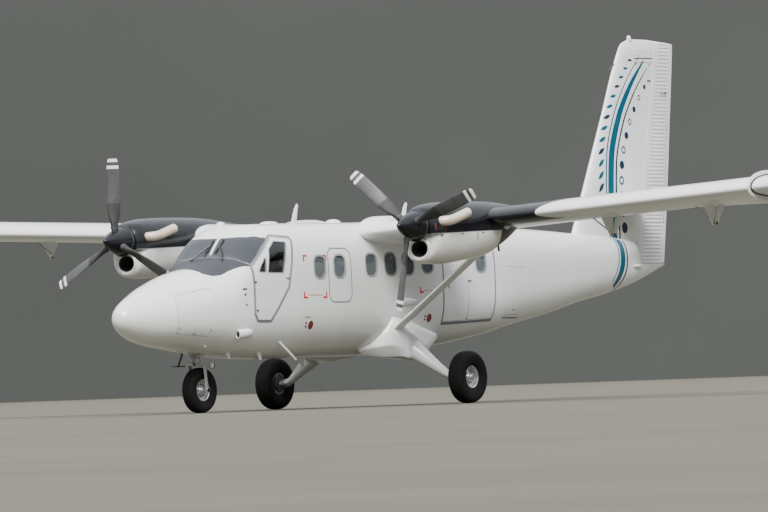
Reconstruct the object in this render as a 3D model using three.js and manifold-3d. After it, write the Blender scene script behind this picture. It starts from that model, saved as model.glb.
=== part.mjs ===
// Twin turboprop high-wing airliner on fixed tricycle landing gear.
// Millimetres. +X is the aircraft's left, +Y points aft, +Z up; the tyres stand on z = 0.
// Lengths along the aircraft are stations, measured aft from a datum just ahead of the nose.
import * as THREE from 'three';
import { mergeVertices } from 'three/addons/utils/BufferGeometryUtils.js';
import Module from 'manifold-3d';

const wasm = await Module();
wasm.setup();

// Driving dimensions of the whole aircraft
const LENGTH = 15770;
const SPAN = 19810;
const HEIGHT = 6005;            // top of the fin's rounded cap
const NOSE_TIP = 60;           // station of the nose's foremost point
const FIT = 0.3;              // gap between pieces that rest on each other
const SWING_GAP = 7;          // gap round a door or beside a moving surface
const NOSE_GAP = 9;           // gap ahead of the rudder's and elevators' faceted noses
const FLOOR_Z = 1250;         // top of the belly, the cabin and cockpit floor
const AISLE_PANEL = { x0: 80, x1: 305, s0: 3800, s1: 8800, height: 8 };  // raised floor panel
const ROOF_Z = 2530;          // joint between cabin walls and roof
const WALL = 60;              // cabin wall thickness
const SHELL = 42;             // cockpit and nose wall thickness
const TAIL_SHELL = 30;        // tail cone wall thickness
const TAIL_SKIN = 18;         // skin of the hollow fin and tailplane
const NOSE_END = 1950;        // station where the nose meets the cockpit
const COCKPIT_END = 3760;     // station where the cockpit meets the cabin
const CABIN_END = 9020;       // station where the cabin meets the tail cone

const WING_CHORD = 1980;
const WING_LEADING_STATION = 5350;
const WING_ROOT_Z = 2655;     // chord line height on the centre line
const DIHEDRAL = THREE.MathUtils.degToRad(3);
const WING_REAR_STATION = 6730;  // rear face of the fixed wing ahead of flaps and ailerons
const WING_HINGE_STATION = 6820; // nose centre of flaps and ailerons
const WING_HINGE_RADIUS = 78;
const FLAP_PIVOT = { station: 6680, drop: 385 };  // flap pivot, below the chord line

const ENGINE_X = 2790;
const THRUST_Z = 2717;
const PROP_STATION = 3720;
const PROP_RADIUS = 1295;
const COWL_FRONT = 3925;
// The lower cowl in side view: its upper edge rises to the rear, and it ends under the wing.
const LOWER_COWL = [[3800, 2585], [5790, 2650], [5790, 1000], [3800, 1000]];

const TAILPLANE_SPAN = 6300;
const TAILPLANE_Z = 3180;
const TAILPLANE_LEADING = 13480;
const TAILPLANE_CHORD = 1480;
const ELEVATOR_HINGE = 14470;
const ELEVATOR_RADIUS = 62;
const RUDDER_FOOT = { station: 14350, z: 2235 };
const RUDDER_LEAN = 0.235;    // how far the rudder hinge leans aft for each unit up
const RUDDER_NOSE_RADIUS = 96;  // at the rudder's foot
const TAIL_STEP = { station: 14240, z: 2218 };  // the tail cone is cut away under the rudder
const FIN_TOP_Z = 5900;

const MAIN_AXLE = { x: 1855, station: 6550, z: 408 };
const MAIN_TYRE = { radius: 408, width: 264, rim: 178 };
const NOSE_AXLE = { station: 2050, z: 345 };
const NOSE_TYRE = { radius: 345, width: 214, rim: 170 };
const STEER_STATION = 2000;

const WHITE = 0xe9eaec;
const BLACK = 0x111214;
const DARK_GREY = 0x33363a;
const METAL = 0x9a9da1;
const RUBBER = 0x17181a;
const TAN_STEEL = 0xcfc6ad;
const SEAT_BLUE = 0x2c3a52;

const aircraft = new THREE.Group();
aircraft.position.y = -(NOSE_TIP + LENGTH / 2);

// Solids
function solidFrom(geometry) {
  const bare = geometry.clone();
  bare.deleteAttribute('normal');
  bare.deleteAttribute('uv');
  const merged = mergeVertices(bare, 0.01);
  const mesh = new wasm.Mesh({
    numProp: 3,
    vertProperties: new Float32Array(merged.attributes.position.array),
    triVerts: new Uint32Array(merged.index.array),
  });
  return new wasm.Manifold(mesh);
}

function geometryFrom(solid) {
  const mesh = solid.getMesh();
  const geometry = new THREE.BufferGeometry();
  geometry.setAttribute('position', new THREE.BufferAttribute(new Float32Array(mesh.vertProperties), 3));
  geometry.setIndex(new THREE.BufferAttribute(new Uint32Array(mesh.triVerts), 1));
  geometry.computeVertexNormals();
  return geometry;
}

function largestBody(solid) {
  const bodies = solid.decompose();
  bodies.sort((a, b) => b.volume() - a.volume());
  return bodies[0];
}

function addNode(name, solid, colour, roughness = 0.4, metalness = 0) {
  const material = new THREE.MeshStandardMaterial({ color: colour, roughness, metalness });
  const mesh = new THREE.Mesh(geometryFrom(largestBody(solid)), material);
  mesh.name = name;
  aircraft.add(mesh);
}

function box(x0, x1, s0, s1, z0, z1) {
  const geometry = new THREE.BoxGeometry(x1 - x0, s1 - s0, z1 - z0);
  geometry.translate((x0 + x1) / 2, (s0 + s1) / 2, (z0 + z1) / 2);
  return solidFrom(geometry);
}

// A closed skin over rings of equal point counts, each end closed by a fan of triangles.
// Four-sided faces split along mirrored diagonals on the two sides of the aircraft.
function loft(rings) {
  const count = rings[0].length;
  const positions = rings.flat().flatMap((p) => [p.x, p.y, p.z]);
  const index = [];
  for (let r = 0; r < rings.length - 1; r += 1) {
    for (let i = 0; i < count; i += 1) {
      const a = r * count + i;
      const b = r * count + ((i + 1) % count);
      const side = positions[3 * a] + positions[3 * b] + positions[3 * (a + count)];
      index.push(...(side < 0
        ? [a, b, b + count, a, b + count, a + count]
        : [a, b, a + count, b, b + count, a + count]));
    }
  }
  for (const [r, turn] of [[0, false], [rings.length - 1, true]]) {
    const centre = new THREE.Vector3();
    rings[r].forEach((p) => centre.addScaledVector(p, 1 / count));
    const hub = positions.length / 3;
    positions.push(centre.x, centre.y, centre.z);
    for (let i = 0; i < count; i += 1) {
      const a = r * count + i;
      const b = r * count + ((i + 1) % count);
      index.push(...(turn ? [hub, a, b] : [hub, b, a]));
    }
  }
  const geometry = new THREE.BufferGeometry();
  geometry.setAttribute('position', new THREE.Float32BufferAttribute(positions, 3));
  geometry.setIndex(index);
  if (signedVolume(geometry) < 0) {
    geometry.setIndex(index.map((v, k) => index[k - (k % 3) + [0, 2, 1][k % 3]]));
  }
  return solidFrom(geometry);
}

function signedVolume(geometry) {
  const position = geometry.attributes.position;
  const corner = [0, 1, 2].map(() => new THREE.Vector3());
  let sum = 0;
  for (let t = 0; t < geometry.index.count; t += 3) {
    corner.forEach((p, k) => p.fromBufferAttribute(position, geometry.index.getX(t + k)));
    sum += corner[0].dot(corner[1].clone().cross(corner[2])) / 6;
  }
  return sum;
}

// A straight prism: an outline of [station, z] points pushed from x0 to x1.
function sidePrism(outline, x0, x1) {
  const ringAt = (x) => outline.map(([s, z]) => new THREE.Vector3(x, s, z));
  return loft([ringAt(x0), ringAt(x1)]);
}

// A straight prism: an outline of [x, station] points pushed from z0 to z1.
function planPrism(outline, z0, z1) {
  const ringAt = (z) => outline.map(([x, s]) => new THREE.Vector3(x, s, z));
  return loft([ringAt(z0), ringAt(z1)]);
}

// A round or oval bar through points given as {x, s, z, wide, deep}.
function bar(points, sides, widthAxis) {
  const rings = points.map((p, k) => {
    const here = new THREE.Vector3(p.x, p.s, p.z);
    const before = points[Math.max(k - 1, 0)];
    const after = points[Math.min(k + 1, points.length - 1)];
    const along = new THREE.Vector3(after.x - before.x, after.s - before.s, after.z - before.z).normalize();
    const wide = widthAxis.clone().addScaledVector(along, -widthAxis.dot(along)).normalize();
    const deep = along.clone().cross(wide);
    const ring = [];
    for (let i = 0; i < sides; i += 1) {
      const angle = (2 * Math.PI * (i + 0.5)) / sides;
      ring.push(here.clone()
        .addScaledVector(wide, p.wide * Math.cos(angle))
        .addScaledVector(deep, p.deep * Math.sin(angle)));
    }
    return ring;
  });
  return loft(rings);
}

const ALONG_X = new THREE.Vector3(1, 0, 0);
const ALONG_S = new THREE.Vector3(0, 1, 0);

function cylinderX(x0, x1, s, z, radius, sides = 24) {
  return bar([{ x: x0, s, z, wide: radius, deep: radius }, { x: x1, s, z, wide: radius, deep: radius }],
    sides, ALONG_S);
}

function cylinderS(x, s0, s1, z, radius, sides = 24) {
  return bar([{ x, s: s0, z, wide: radius, deep: radius }, { x, s: s1, z, wide: radius, deep: radius }],
    sides, ALONG_X);
}

function cylinderZ(x, s, z0, z1, radius, sides = 16) {
  return bar([{ x, s, z: z0, wide: radius, deep: radius }, { x, s, z: z1, wide: radius, deep: radius }],
    sides, ALONG_X);
}

function mirrored(solid) {
  return solid.mirror([1, 0, 0]);
}

// Fuselage: superellipse sections.
// station, half width, top, bottom, height of the widest point, power above it, power below it
const FUSELAGE = [
  [NOSE_TIP, 42, 1498, 1402, 1450, 2.0, 2.0],
  [80, 95, 1548, 1352, 1446, 2.0, 2.0],
  [145, 165, 1620, 1275, 1441, 2.0, 2.0],
  [270, 248, 1702, 1195, 1440, 2.0, 2.0],
  [480, 358, 1796, 1112, 1445, 2.0, 2.1],
  [940, 550, 1975, 1022, 1470, 2.0, 2.3],
  [1450, 668, 2120, 960, 1500, 2.1, 2.4],
  [1950, 752, 2215, 900, 1560, 2.2, 2.6],
  [2400, 812, 2350, 850, 1650, 4.2, 2.8],
  [2720, 832, 2680, 825, 1680, 4.2, 2.8],
  [2930, 845, 2795, 812, 1700, 4.2, 2.8],
  [3070, 852, 2845, 805, 1720, 4.1, 2.8],
  [3650, 872, 2865, 800, 1740, 4.0, 2.8],
  [5750, 875, 2885, 800, 1750, 4.0, 2.8],
  [7370, 875, 2915, 872, 1790, 3.9, 2.7],
  [9020, 850, 2870, 1038, 1850, 3.6, 2.6],
  [10290, 720, 2815, 1240, 1930, 3.2, 2.5],
  [11350, 590, 2775, 1390, 1990, 2.9, 2.4],
  [12440, 455, 2725, 1585, 2060, 2.6, 2.3],
  [13270, 355, 2690, 1705, 2110, 2.4, 2.2],
  [14150, 240, 2630, 1870, 2150, 2.2, 2.1],
  [14700, 160, 2520, 2015, 2200, 2.1, 2.0],
  [15270, 60, 2330, 2180, 2255, 2.0, 2.0],
];
const FUSELAGE_SIDES = 28;
const FUSELAGE_END = FUSELAGE.at(-1)[0];

function sectionAt(station) {
  const upper = FUSELAGE.findIndex((row) => row[0] >= station);
  if (upper <= 0) return FUSELAGE[Math.max(upper, 0)];
  const [a, b] = [FUSELAGE[upper - 1], FUSELAGE[upper]];
  const part = (station - a[0]) / (b[0] - a[0]);
  return a.map((value, k) => value + (b[k] - value) * part);
}

function fuselageRing(row, inset) {
  const [station, halfWidth, top, bottom, middle, powerTop, powerBottom] = row;
  const ring = [];
  for (let i = 0; i < FUSELAGE_SIDES; i += 1) {
    const angle = (2 * Math.PI * i) / FUSELAGE_SIDES;
    const [c, s] = [Math.cos(angle), Math.sin(angle)];
    const power = s >= 0 ? powerTop : powerBottom;
    const height = (s >= 0 ? top - middle : middle - bottom) - inset;
    ring.push(new THREE.Vector3(
      (halfWidth - inset) * Math.sign(c) * Math.abs(c) ** (2 / power),
      station,
      middle + height * Math.sign(s) * Math.abs(s) ** (2 / power),
    ));
  }
  return ring;
}

function fuselageLoft(from, to, inset) {
  const between = FUSELAGE.filter((row) => row[0] > from + 1 && row[0] < to - 1);
  const rows = [sectionAt(from), ...between, sectionAt(to)];
  return loft(rows.map((row) => fuselageRing(row, inset)));
}

const FAR = 20000;
const skin = fuselageLoft(NOSE_TIP, FUSELAGE_END, 0);
const skinClear = fuselageLoft(NOSE_TIP, FUSELAGE_END, -FIT);

// Doors: corners in side view as [station, z], how far out their skin is, their side, and how much their
// edges slope in for each unit of depth.
const DOORS = {
  crew: {
    outline: [[2440, 2190], [2985, 2655], [3452, 2625], [3262, 1872], [2822, 1358], [2515, 1362], [2442, 1470]],
    skinX: 810,
    side: 1,
    bevel: 0.12,
  },
  cabinFront: {
    outline: [[7420, 1285], [7420, 2500], [8120, 2500], [8120, 1307]],
    skinX: 870,
    side: 1,
    bevel: 0.12,
  },
  cabinRear: {
    outline: [[8120, 1307], [8120, 2500], [8890, 2500], [8890, 1332]],
    skinX: 860,
    side: 1,
    bevel: 0.12,
  },
  cabinRight: {
    outline: [[8080, 1285], [8080, 2435], [8850, 2435], [8850, 1285]],
    skinX: 860,
    side: -1,
    bevel: 0.24,
  },
  nose: {
    outline: [[860, 1165], [860, 1793], [1600, 1880], [1600, 1150]],
    skinX: 560,
    side: 1,
    bevel: 0.34,
  },
  aft: {
    outline: [[9265, 1355], [9265, 2160], [9900, 2160], [9900, 1355]],
    skinX: 790,
    side: 1,
    bevel: 0.3,
  },
};
const DOOR_DEPTH = { inner: 250, outer: 1200 };  // how far out a door's cut starts and ends
// The wall left between the two leaves' cuts, taken out so that the doorway is one opening.
const LEAF_MULLION = { x0: 700, x1: 900, s0: 8060, s1: 8180, z0: 1325, z1: 2475 };
// Baggage spaces inside the nose and tail: first and last station.
const NOSE_ROOM = [760, 1800];
const TAIL_ROOM = [CABIN_END + 60, 14000];
const CABIN_ROOM = [2300, CABIN_END - 70];

// Pushes an outline's corners towards its middle by the same amount along each edge.
function shrunk(outline, amount) {
  const count = outline.length;
  const area = outline.reduce((sum, p, i) => {
    const q = outline[(i + 1) % count];
    return sum + p[0] * q[1] - q[0] * p[1];
  }, 0);
  const side = Math.sign(area);
  const edges = outline.map((p, i) => {
    const q = outline[(i + 1) % count];
    const length = Math.hypot(q[0] - p[0], q[1] - p[1]);
    const [dx, dz] = [(q[0] - p[0]) / length, (q[1] - p[1]) / length];
    return { p: [p[0] - side * dz * amount, p[1] + side * dx * amount], d: [dx, dz] };
  });
  return outline.map((_, i) => {
    const a = edges[(i + count - 1) % count];
    const b = edges[i];
    const cross = a.d[0] * b.d[1] - a.d[1] * b.d[0];
    const t = ((b.p[0] - a.p[0]) * b.d[1] - (b.p[1] - a.p[1]) * b.d[0]) / cross;
    return [a.p[0] + a.d[0] * t, a.p[1] + a.d[1] * t];
  });
}

function doorCut({ outline, skinX, side, bevel }, gap = 0) {
  const rings = [DOOR_DEPTH.inner, DOOR_DEPTH.outer].map((x) => (
    shrunk(outline, gap + (skinX - x) * bevel).map(([s, z]) => new THREE.Vector3(x, s, z))));
  const cut = loft(rings);
  return side > 0 ? cut : mirrored(cut);
}

// Windscreen panes in plan, as [x, station] corners, left side.
const WINDSCREEN_PANE = [[24, 2402], [400, 2345], [620, 2365], [765, 2452], [725, 2925], [24, 2690]];
const WINDSCREEN_FIT = 3;
const DOOR_PILLAR = 30;       // frame left between the windscreen and the crew door

function windscreenPrism(fit) {
  const beside = sidePrism(shrunk(DOORS.crew.outline, -DOOR_PILLAR - fit),
    DOOR_DEPTH.inner, DOOR_DEPTH.outer);
  return planPrism(shrunk(WINDSCREEN_PANE, fit), 2150, 3000).subtract(beside);
}

function buildFuselage() {
  const overFloor = box(-FAR, FAR, 0, FAR, FLOOR_Z, FAR);
  const room = fuselageLoft(...CABIN_ROOM, WALL).intersect(overFloor);
  const cockpitRoom = fuselageLoft(CABIN_ROOM[0], COCKPIT_END + 1, SHELL).intersect(overFloor);
  const noseRoom = fuselageLoft(...NOSE_ROOM, SHELL);
  const tailRoom = fuselageLoft(...TAIL_ROOM, TAIL_SHELL);

  const slice = (s0, s1, z0, z1) => skin.intersect(box(-FAR, FAR, s0, s1, z0, z1));
  const half = FIT / 2;

  const nose = slice(0, NOSE_END - half, 0, FAR).subtract(noseRoom);
  addNode('nose_section', nose.subtract(doorCut(DOORS.nose)), WHITE);
  addNode('nose_baggage_door', nose.intersect(doorCut(DOORS.nose, SWING_GAP)), WHITE);

  const { x0, x1, s0, s1, height } = AISLE_PANEL;
  const belly = slice(NOSE_END + half, CABIN_END - half, 0, FLOOR_Z - half)
    .add(box(x0, x1, s0, s1, FLOOR_Z - WALL, FLOOR_Z + height));
  addNode('cabin_belly', belly, WHITE);

  const pane = windscreenPrism(0);
  const panes = pane.add(mirrored(pane));
  const cockpit = slice(NOSE_END + half, COCKPIT_END - half, FLOOR_Z + half, FAR).subtract(cockpitRoom);
  const crewCut = doorCut(DOORS.crew);
  const openings = panes.add(crewCut).add(mirrored(crewCut));
  addNode('cockpit_section', cockpit.subtract(openings), WHITE);

  const glass = cockpit.intersect(windscreenPrism(WINDSCREEN_FIT));
  addNode('windscreen_left', glass, DARK_GREY, 0.05);
  addNode('windscreen_right', mirrored(largestBody(glass)), DARK_GREY, 0.05);

  const crewDoor = cockpit.intersect(doorCut(DOORS.crew, SWING_GAP))
    .subtract(crewWindowCuts());
  addNode('crew_door_left', crewDoor, WHITE);
  addNode('crew_door_right', mirrored(largestBody(crewDoor)), WHITE);

  const cabin = slice(COCKPIT_END + half, CABIN_END - half, FLOOR_Z + half, FAR).subtract(room);
  const walls = cabin.intersect(box(-FAR, FAR, 0, FAR, 0, ROOF_Z - half));
  const left = walls.intersect(box(0, FAR, 0, FAR, 0, FAR));
  const right = walls.intersect(box(-FAR, -FIT, 0, FAR, 0, FAR));
  const mullion = box(LEAF_MULLION.x0, LEAF_MULLION.x1, LEAF_MULLION.s0, LEAF_MULLION.s1,
    LEAF_MULLION.z0, LEAF_MULLION.z1);
  const doorway = doorCut(DOORS.cabinFront).add(doorCut(DOORS.cabinRear)).add(mullion);
  addNode('cabin_roof', cabin.intersect(box(-FAR, FAR, 0, FAR, ROOF_Z + half, FAR)), WHITE);
  addNode('cabin_wall_left', left.subtract(doorway), WHITE);
  addNode('cabin_wall_right', right.subtract(doorCut(DOORS.cabinRight)), WHITE);
  addNode('cabin_door_front_leaf', left.intersect(doorCut(DOORS.cabinFront, SWING_GAP)), WHITE);
  addNode('cabin_door_rear_leaf', left.intersect(doorCut(DOORS.cabinRear, SWING_GAP)), WHITE);
  addNode('cabin_door_right', right.intersect(doorCut(DOORS.cabinRight, SWING_GAP)), WHITE);

  const underRudder = box(-FAR, FAR, TAIL_STEP.station, FAR, TAIL_STEP.z, FAR);
  const tail = slice(CABIN_END + half, FAR, 0, FAR).subtract(tailRoom).subtract(underRudder);
  addNode('tail_cone', tail.subtract(doorCut(DOORS.aft)), WHITE);
  addNode('aft_baggage_door', tail.intersect(doorCut(DOORS.aft, SWING_GAP)), WHITE);
}

// The two panes in each crew door, as [station, z] corners.
const CREW_WINDOWS = [
  [[2555, 2100], [2765, 2362], [2736, 2100]],
  [[2774, 2090], [2862, 2450], [3012, 2572], [3300, 2558], [3150, 2088]],
];

function crewWindowCuts() {
  return CREW_WINDOWS.map((outline) => doorCut({ outline, skinX: 0, side: 1, bevel: 0 }))
    .reduce((all, cut) => all.add(cut));
}

// Wing: one outline of the cambered section, as [part of chord, upper, lower] with heights in parts of chord.
const WING_SECTION = [
  [0, 0.0, 0.0], [0.0125, 0.026, -0.018], [0.05, 0.054, -0.034], [0.12, 0.079, -0.048],
  [0.25, 0.096, -0.060], [0.4, 0.098, -0.066], [0.6, 0.082, -0.062], [0.8, 0.05, -0.038], [1, 0.003, -0.003],
];

function wingChordZ(x) {
  return WING_ROOT_Z + Math.abs(x) * Math.tan(DIHEDRAL);
}

function wingRing(x, chordScale, thickness) {
  const middle = WING_LEADING_STATION + WING_CHORD * 0.42;
  const point = (part, height) => new THREE.Vector3(
    x,
    middle + (WING_LEADING_STATION + part * WING_CHORD - middle) * chordScale,
    wingChordZ(x) + height * WING_CHORD * thickness,
  );
  const upper = WING_SECTION.map(([part, up]) => point(part, up));
  const lower = WING_SECTION.slice(1).reverse().map(([part, , low]) => point(part, low));
  return [...upper, ...lower];
}

const WING_ENDS = { root: 300, roundFrom: SPAN / 2 - 140, tip: SPAN / 2 };
const NOSE_RISE = 14;         // the hinge noses' centre above the chord line

function fullWing() {
  return loft([
    wingRing(WING_ENDS.root, 1, 1),
    wingRing(WING_ENDS.roundFrom, 1, 1),
    wingRing(WING_ENDS.tip - 40, 0.95, 0.72),
    wingRing(WING_ENDS.tip, 0.86, 0.3),
  ]);
}

// A nose of round section that follows the wing's dihedral, from x0 to x1.
function wingNose(x0, x1, radius) {
  return bar([x0, x1].map((x) => ({
    x, s: WING_HINGE_STATION, z: wingChordZ(x) + NOSE_RISE, wide: radius, deep: radius,
  })), 16, ALONG_S);
}

// name, inner x, outer x
const WING_SURFACES = [
  ['flap_inboard', 960, 2420],
  ['flap_outboard', 3160, 6560],
  ['aileron', 6590, 9620],
];
// Beside each flap and aileron. Their hinges lean with the dihedral, so they shift sideways as they turn.
const END_GAP = 15;
const BRACKET_X = [1330, 2250, 4525, 6370];
const BRACKET_THICKNESS = 26;
const BRACKET_LENGTH = 360;   // along the wing's underside
const BRACKET_EYE = 30;       // half size of its rounded end at the pivot
const SKIN_DEPTH = 60;        // plates start this far below the chord line, inside the wing
const ARM_SHIFT = 40;
const ARM_THICKNESS = 22;
const ARM_TOP = [-30, 190];     // where it meets the flap, from the flap's hinge station

// The fixed hinge bracket of a flap: a triangular plate under the rear of the wing.
function flapBracket(x) {
  const z = wingChordZ(x);
  const [s, low] = [FLAP_PIVOT.station, z - FLAP_PIVOT.drop];
  const outline = [
    [WING_REAR_STATION - BRACKET_LENGTH, z - SKIN_DEPTH], [WING_REAR_STATION - 12, z - SKIN_DEPTH],
    [s + BRACKET_EYE, low + BRACKET_EYE], [s + BRACKET_EYE / 2, low - BRACKET_EYE],
    [s - BRACKET_EYE, low - BRACKET_EYE / 2],
  ];
  return sidePrism(outline, x - BRACKET_THICKNESS / 2, x + BRACKET_THICKNESS / 2);
}

// The moving arm beside it, which carries the flap.
function flapArm(x) {
  const z = wingChordZ(x);
  const [s, low] = [FLAP_PIVOT.station, z - FLAP_PIVOT.drop];
  const outline = [
    ...ARM_TOP.map((along) => [WING_HINGE_STATION + along, z]),
    [s + BRACKET_EYE, low - BRACKET_EYE], [s - BRACKET_EYE, low - BRACKET_EYE / 2],
  ];
  const middle = x + ARM_SHIFT;
  return sidePrism(outline, middle - ARM_THICKNESS / 2, middle + ARM_THICKNESS / 2);
}

function buildWings(nacelleSkin) {
  const whole = fullWing();
  let wing = whole.subtract(skinClear);
  const surfaces = WING_SURFACES.map(([name, x0, x1]) => {
    const behind = box(x0, x1, WING_REAR_STATION, FAR, 0, FAR);
    wing = wing.subtract(behind);
    const ends = [x0 + END_GAP, x1 - END_GAP];
    const moving = whole.intersect(box(...ends, WING_HINGE_STATION, FAR, 0, FAR))
      .add(wingNose(x0, x1, WING_HINGE_RADIUS).intersect(box(...ends, 0, FAR, 0, FAR)));
    return { name, x0, x1, moving };
  });
  wing = wing.add(BRACKET_X.map(flapBracket).reduce((all, one) => all.add(one)));
  for (const [side, place] of [['left', (solid) => solid], ['right', mirrored]]) {
    addNode(`wing_${side}`, place(wing), WHITE);
    for (const { name, x0, x1, moving } of surfaces) {
      const arms = name === 'aileron' ? [] : BRACKET_X.filter((x) => x > x0 && x < x1).map(flapArm);
      addNode(`${name}_${side}`, place(arms.reduce((all, arm) => all.add(arm), moving)), WHITE);
    }
  }
  return wing.add(nacelleSkin);
}

// Nacelle sections: station, half width, top, bottom, middle, power
const NACELLE = [
  [COWL_FRONT, 262, 2948, 2215, 2640, 2.2],
  [3990, 305, 2995, 2165, 2630, 2.3],
  [4130, 340, 3040, 2138, 2620, 2.4],
  [4400, 356, 3076, 2134, 2630, 2.4],
  [5060, 358, 3096, 2190, 2650, 2.4],
  [5560, 350, 3098, 2250, 2690, 2.3],
  [5950, 325, 3086, 2392, 2720, 2.2],
  [6400, 235, 3052, 2600, 2800, 2.1],
  [6890, 60, 3000, 2900, 2950, 2.0],
];
const NACELLE_SIDES = 18;

function nacelleRing([station, halfWidth, top, bottom, middle, power], grow) {
  const ring = [];
  for (let i = 0; i < NACELLE_SIDES; i += 1) {
    const angle = (2 * Math.PI * i) / NACELLE_SIDES;
    const [c, s] = [Math.cos(angle), Math.sin(angle)];
    const height = (s >= 0 ? top - middle : middle - bottom) + grow;
    ring.push(new THREE.Vector3(
      ENGINE_X + (halfWidth + grow) * Math.sign(c) * Math.abs(c) ** (2 / power),
      station,
      middle + height * Math.sign(s) * Math.abs(s) ** (2 / power),
    ));
  }
  return ring;
}

const INTAKE = { z: 2367, halfWidth: 156, halfHeight: 136, depth: 520, endWidth: 110, endHeight: 70 };
const ENGINE = { radius: 235, front: 4240, rear: 5080, noseRadius: 120, play: 12 };
const EXHAUST = { radius: 74, bore: 62, play: 6 };

// One exhaust stub: out of the cowl side, then up and aft.
const EXHAUST_PATH = [
  { out: 0, s: 4150, z: 2775 }, { out: 300, s: 4150, z: 2775 }, { out: 375, s: 4185, z: 2780 },
  { out: 420, s: 4290, z: 2795 }, { out: 435, s: 4450, z: 2840 }, { out: 440, s: 4680, z: 2905 },
];

function exhaustBar(sign, radius, first) {
  const points = EXHAUST_PATH.slice(first).map((p) => ({
    x: ENGINE_X + sign * p.out, s: p.s, z: p.z, wide: radius, deep: radius,
  }));
  return bar(points, 8, new THREE.Vector3(0, 0, 1));
}

function buildNacelles() {
  const body = loft(NACELLE.map((row) => nacelleRing(row, 0)));
  const wingClear = fullWingGrown();
  const ahead = COWL_FRONT - 100;
  const bayRadius = ENGINE.radius + ENGINE.play;
  const bay = cylinderS(ENGINE_X, ENGINE.front - 250, ENGINE.rear + 30, THRUST_Z, bayRadius);
  const noseHole = cylinderS(ENGINE_X, ahead, ENGINE.front, THRUST_Z, ENGINE.noseRadius + ENGINE.play);
  const bothPipes = (radius, first) => exhaustBar(1, radius, first).add(exhaustBar(-1, radius, first));
  const pipeHoles = bothPipes(EXHAUST.radius + EXHAUST.play, 0);
  const hollow = body.subtract(bay).subtract(noseHole).subtract(pipeHoles).subtract(wingClear);
  const lowerCowl = (gap) => sidePrism(shrunk(LOWER_COWL, gap), 0, FAR);
  const upper = hollow.subtract(lowerCowl(-FIT / 2));
  const mouth = bar([
    { x: ENGINE_X, s: ahead, z: INTAKE.z, wide: INTAKE.halfWidth, deep: INTAKE.halfHeight },
    { x: ENGINE_X, s: COWL_FRONT + INTAKE.depth, z: INTAKE.z, wide: INTAKE.endWidth, deep: INTAKE.endHeight },
  ], 16, ALONG_X);
  const lower = hollow.intersect(lowerCowl(FIT / 2)).subtract(mouth);
  const engine = cylinderS(ENGINE_X, ENGINE.front, ENGINE.rear, THRUST_Z, ENGINE.radius)
    .add(cylinderS(ENGINE_X, COWL_FRONT - 8, ENGINE.front + 10, THRUST_Z, ENGINE.noseRadius))
    .subtract(bothPipes(EXHAUST.radius + FIT, 0));
  const pipes = bothPipes(EXHAUST.radius, 0).subtract(bothPipes(EXHAUST.bore, 2));
  for (const [side, place] of [['left', (solid) => solid], ['right', mirrored]]) {
    addNode(`nacelle_upper_${side}`, place(upper), BLACK, 0.2);
    addNode(`nacelle_lower_${side}`, place(lower), WHITE, 0.3);
    addNode(`engine_${side}`, place(engine), METAL, 0.5, 0.8);
    addNode(`exhaust_${side}`, place(pipes), TAN_STEEL, 0.5, 0.5);
    addNode(`propeller_${side}`, buildPropeller(side === 'left' ? 1 : -1), DARK_GREY, 0.4);
  }
  return body;
}

function fullWingGrown() {
  const grown = fullWing();
  const lift = FIT * 1.4;
  return grown.add(grown.translate([0, 0, lift])).add(grown.translate([0, 0, -lift]))
    .add(grown.translate([0, -lift, 0]));
}

// Propeller: radius part, chord, thickness, pitch angle in degrees from the disc
const BLADE = [
  [0.10, 96, 92, 62],
  [0.20, 120, 80, 56],
  [0.35, 190, 46, 44],
  [0.60, 208, 28, 31],
  [0.85, 196, 17, 24],
  [0.97, 172, 11, 21],
  [1.00, 128, 8, 20],
];
const SPINNER = [[0, 3425], [25, 3440], [60, 3490], [110, 3570], [160, 3670], [205, 3790], [236, 3905]];
const BLADE_SIDES = 8;

function blade() {
  return loft(BLADE.map(([part, chord, thickness, pitch]) => {
    const turn = THREE.MathUtils.degToRad(pitch);
    const ring = [];
    for (let i = 0; i < BLADE_SIDES; i += 1) {
      const angle = (2 * Math.PI * i) / BLADE_SIDES;
      const [across, through] = [(Math.cos(angle) * chord) / 2, (Math.sin(angle) * thickness) / 2];
      ring.push(new THREE.Vector3(
        across * Math.cos(turn) - through * Math.sin(turn),
        PROP_STATION + across * Math.sin(turn) + through * Math.cos(turn),
        part * PROP_RADIUS,
      ));
    }
    return ring;
  }));
}

// Blade angles seen in the photo, measured from straight up towards the aircraft's left.
const BLADE_ANGLES = { left: [-50, 70, 190], right: [0, 120, 240] };

function buildPropeller(sign) {
  const profile = [...SPINNER, [0, SPINNER.at(-1)[1]]];
  const points = profile.map(([radius, station]) => new THREE.Vector2(radius, station));
  let solid = solidFrom(turnedRight(new THREE.LatheGeometry(points, 18)));
  const angles = sign > 0 ? BLADE_ANGLES.left : BLADE_ANGLES.right;
  for (const angle of angles) solid = solid.add(blade().rotate([0, angle, 0]));
  return solid.translate([sign * ENGINE_X, 0, THRUST_Z]);
}

// Merges a lathe's seam and turns its faces outward if they point in.
function turnedRight(geometry) {
  const bare = geometry.clone();
  bare.deleteAttribute('normal');
  bare.deleteAttribute('uv');
  const merged = mergeVertices(bare, 0.01);
  if (signedVolume(merged) < 0) {
    const index = Array.from(merged.index.array);
    merged.setIndex(index.map((v, k) => index[k - (k % 3) + [0, 2, 1][k % 3]]));
  }
  return merged;
}

// Tail surfaces
const FIN = [
  // z, leading station, trailing station, thickness
  [RUDDER_FOOT.z, 12250, 15320, 250],
  [2520, 12410, 15365, 240],
  [3550, 12945, 15520, 205],
  [4660, 13520, 15665, 160],
  [5800, 14115, 15812, 120],
  [FIN_TOP_Z, 14190, 15822, 84],
  [5945, 14275, NOSE_TIP + LENGTH, 62],
  [HEIGHT, 14480, 15000, 26],
];
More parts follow.
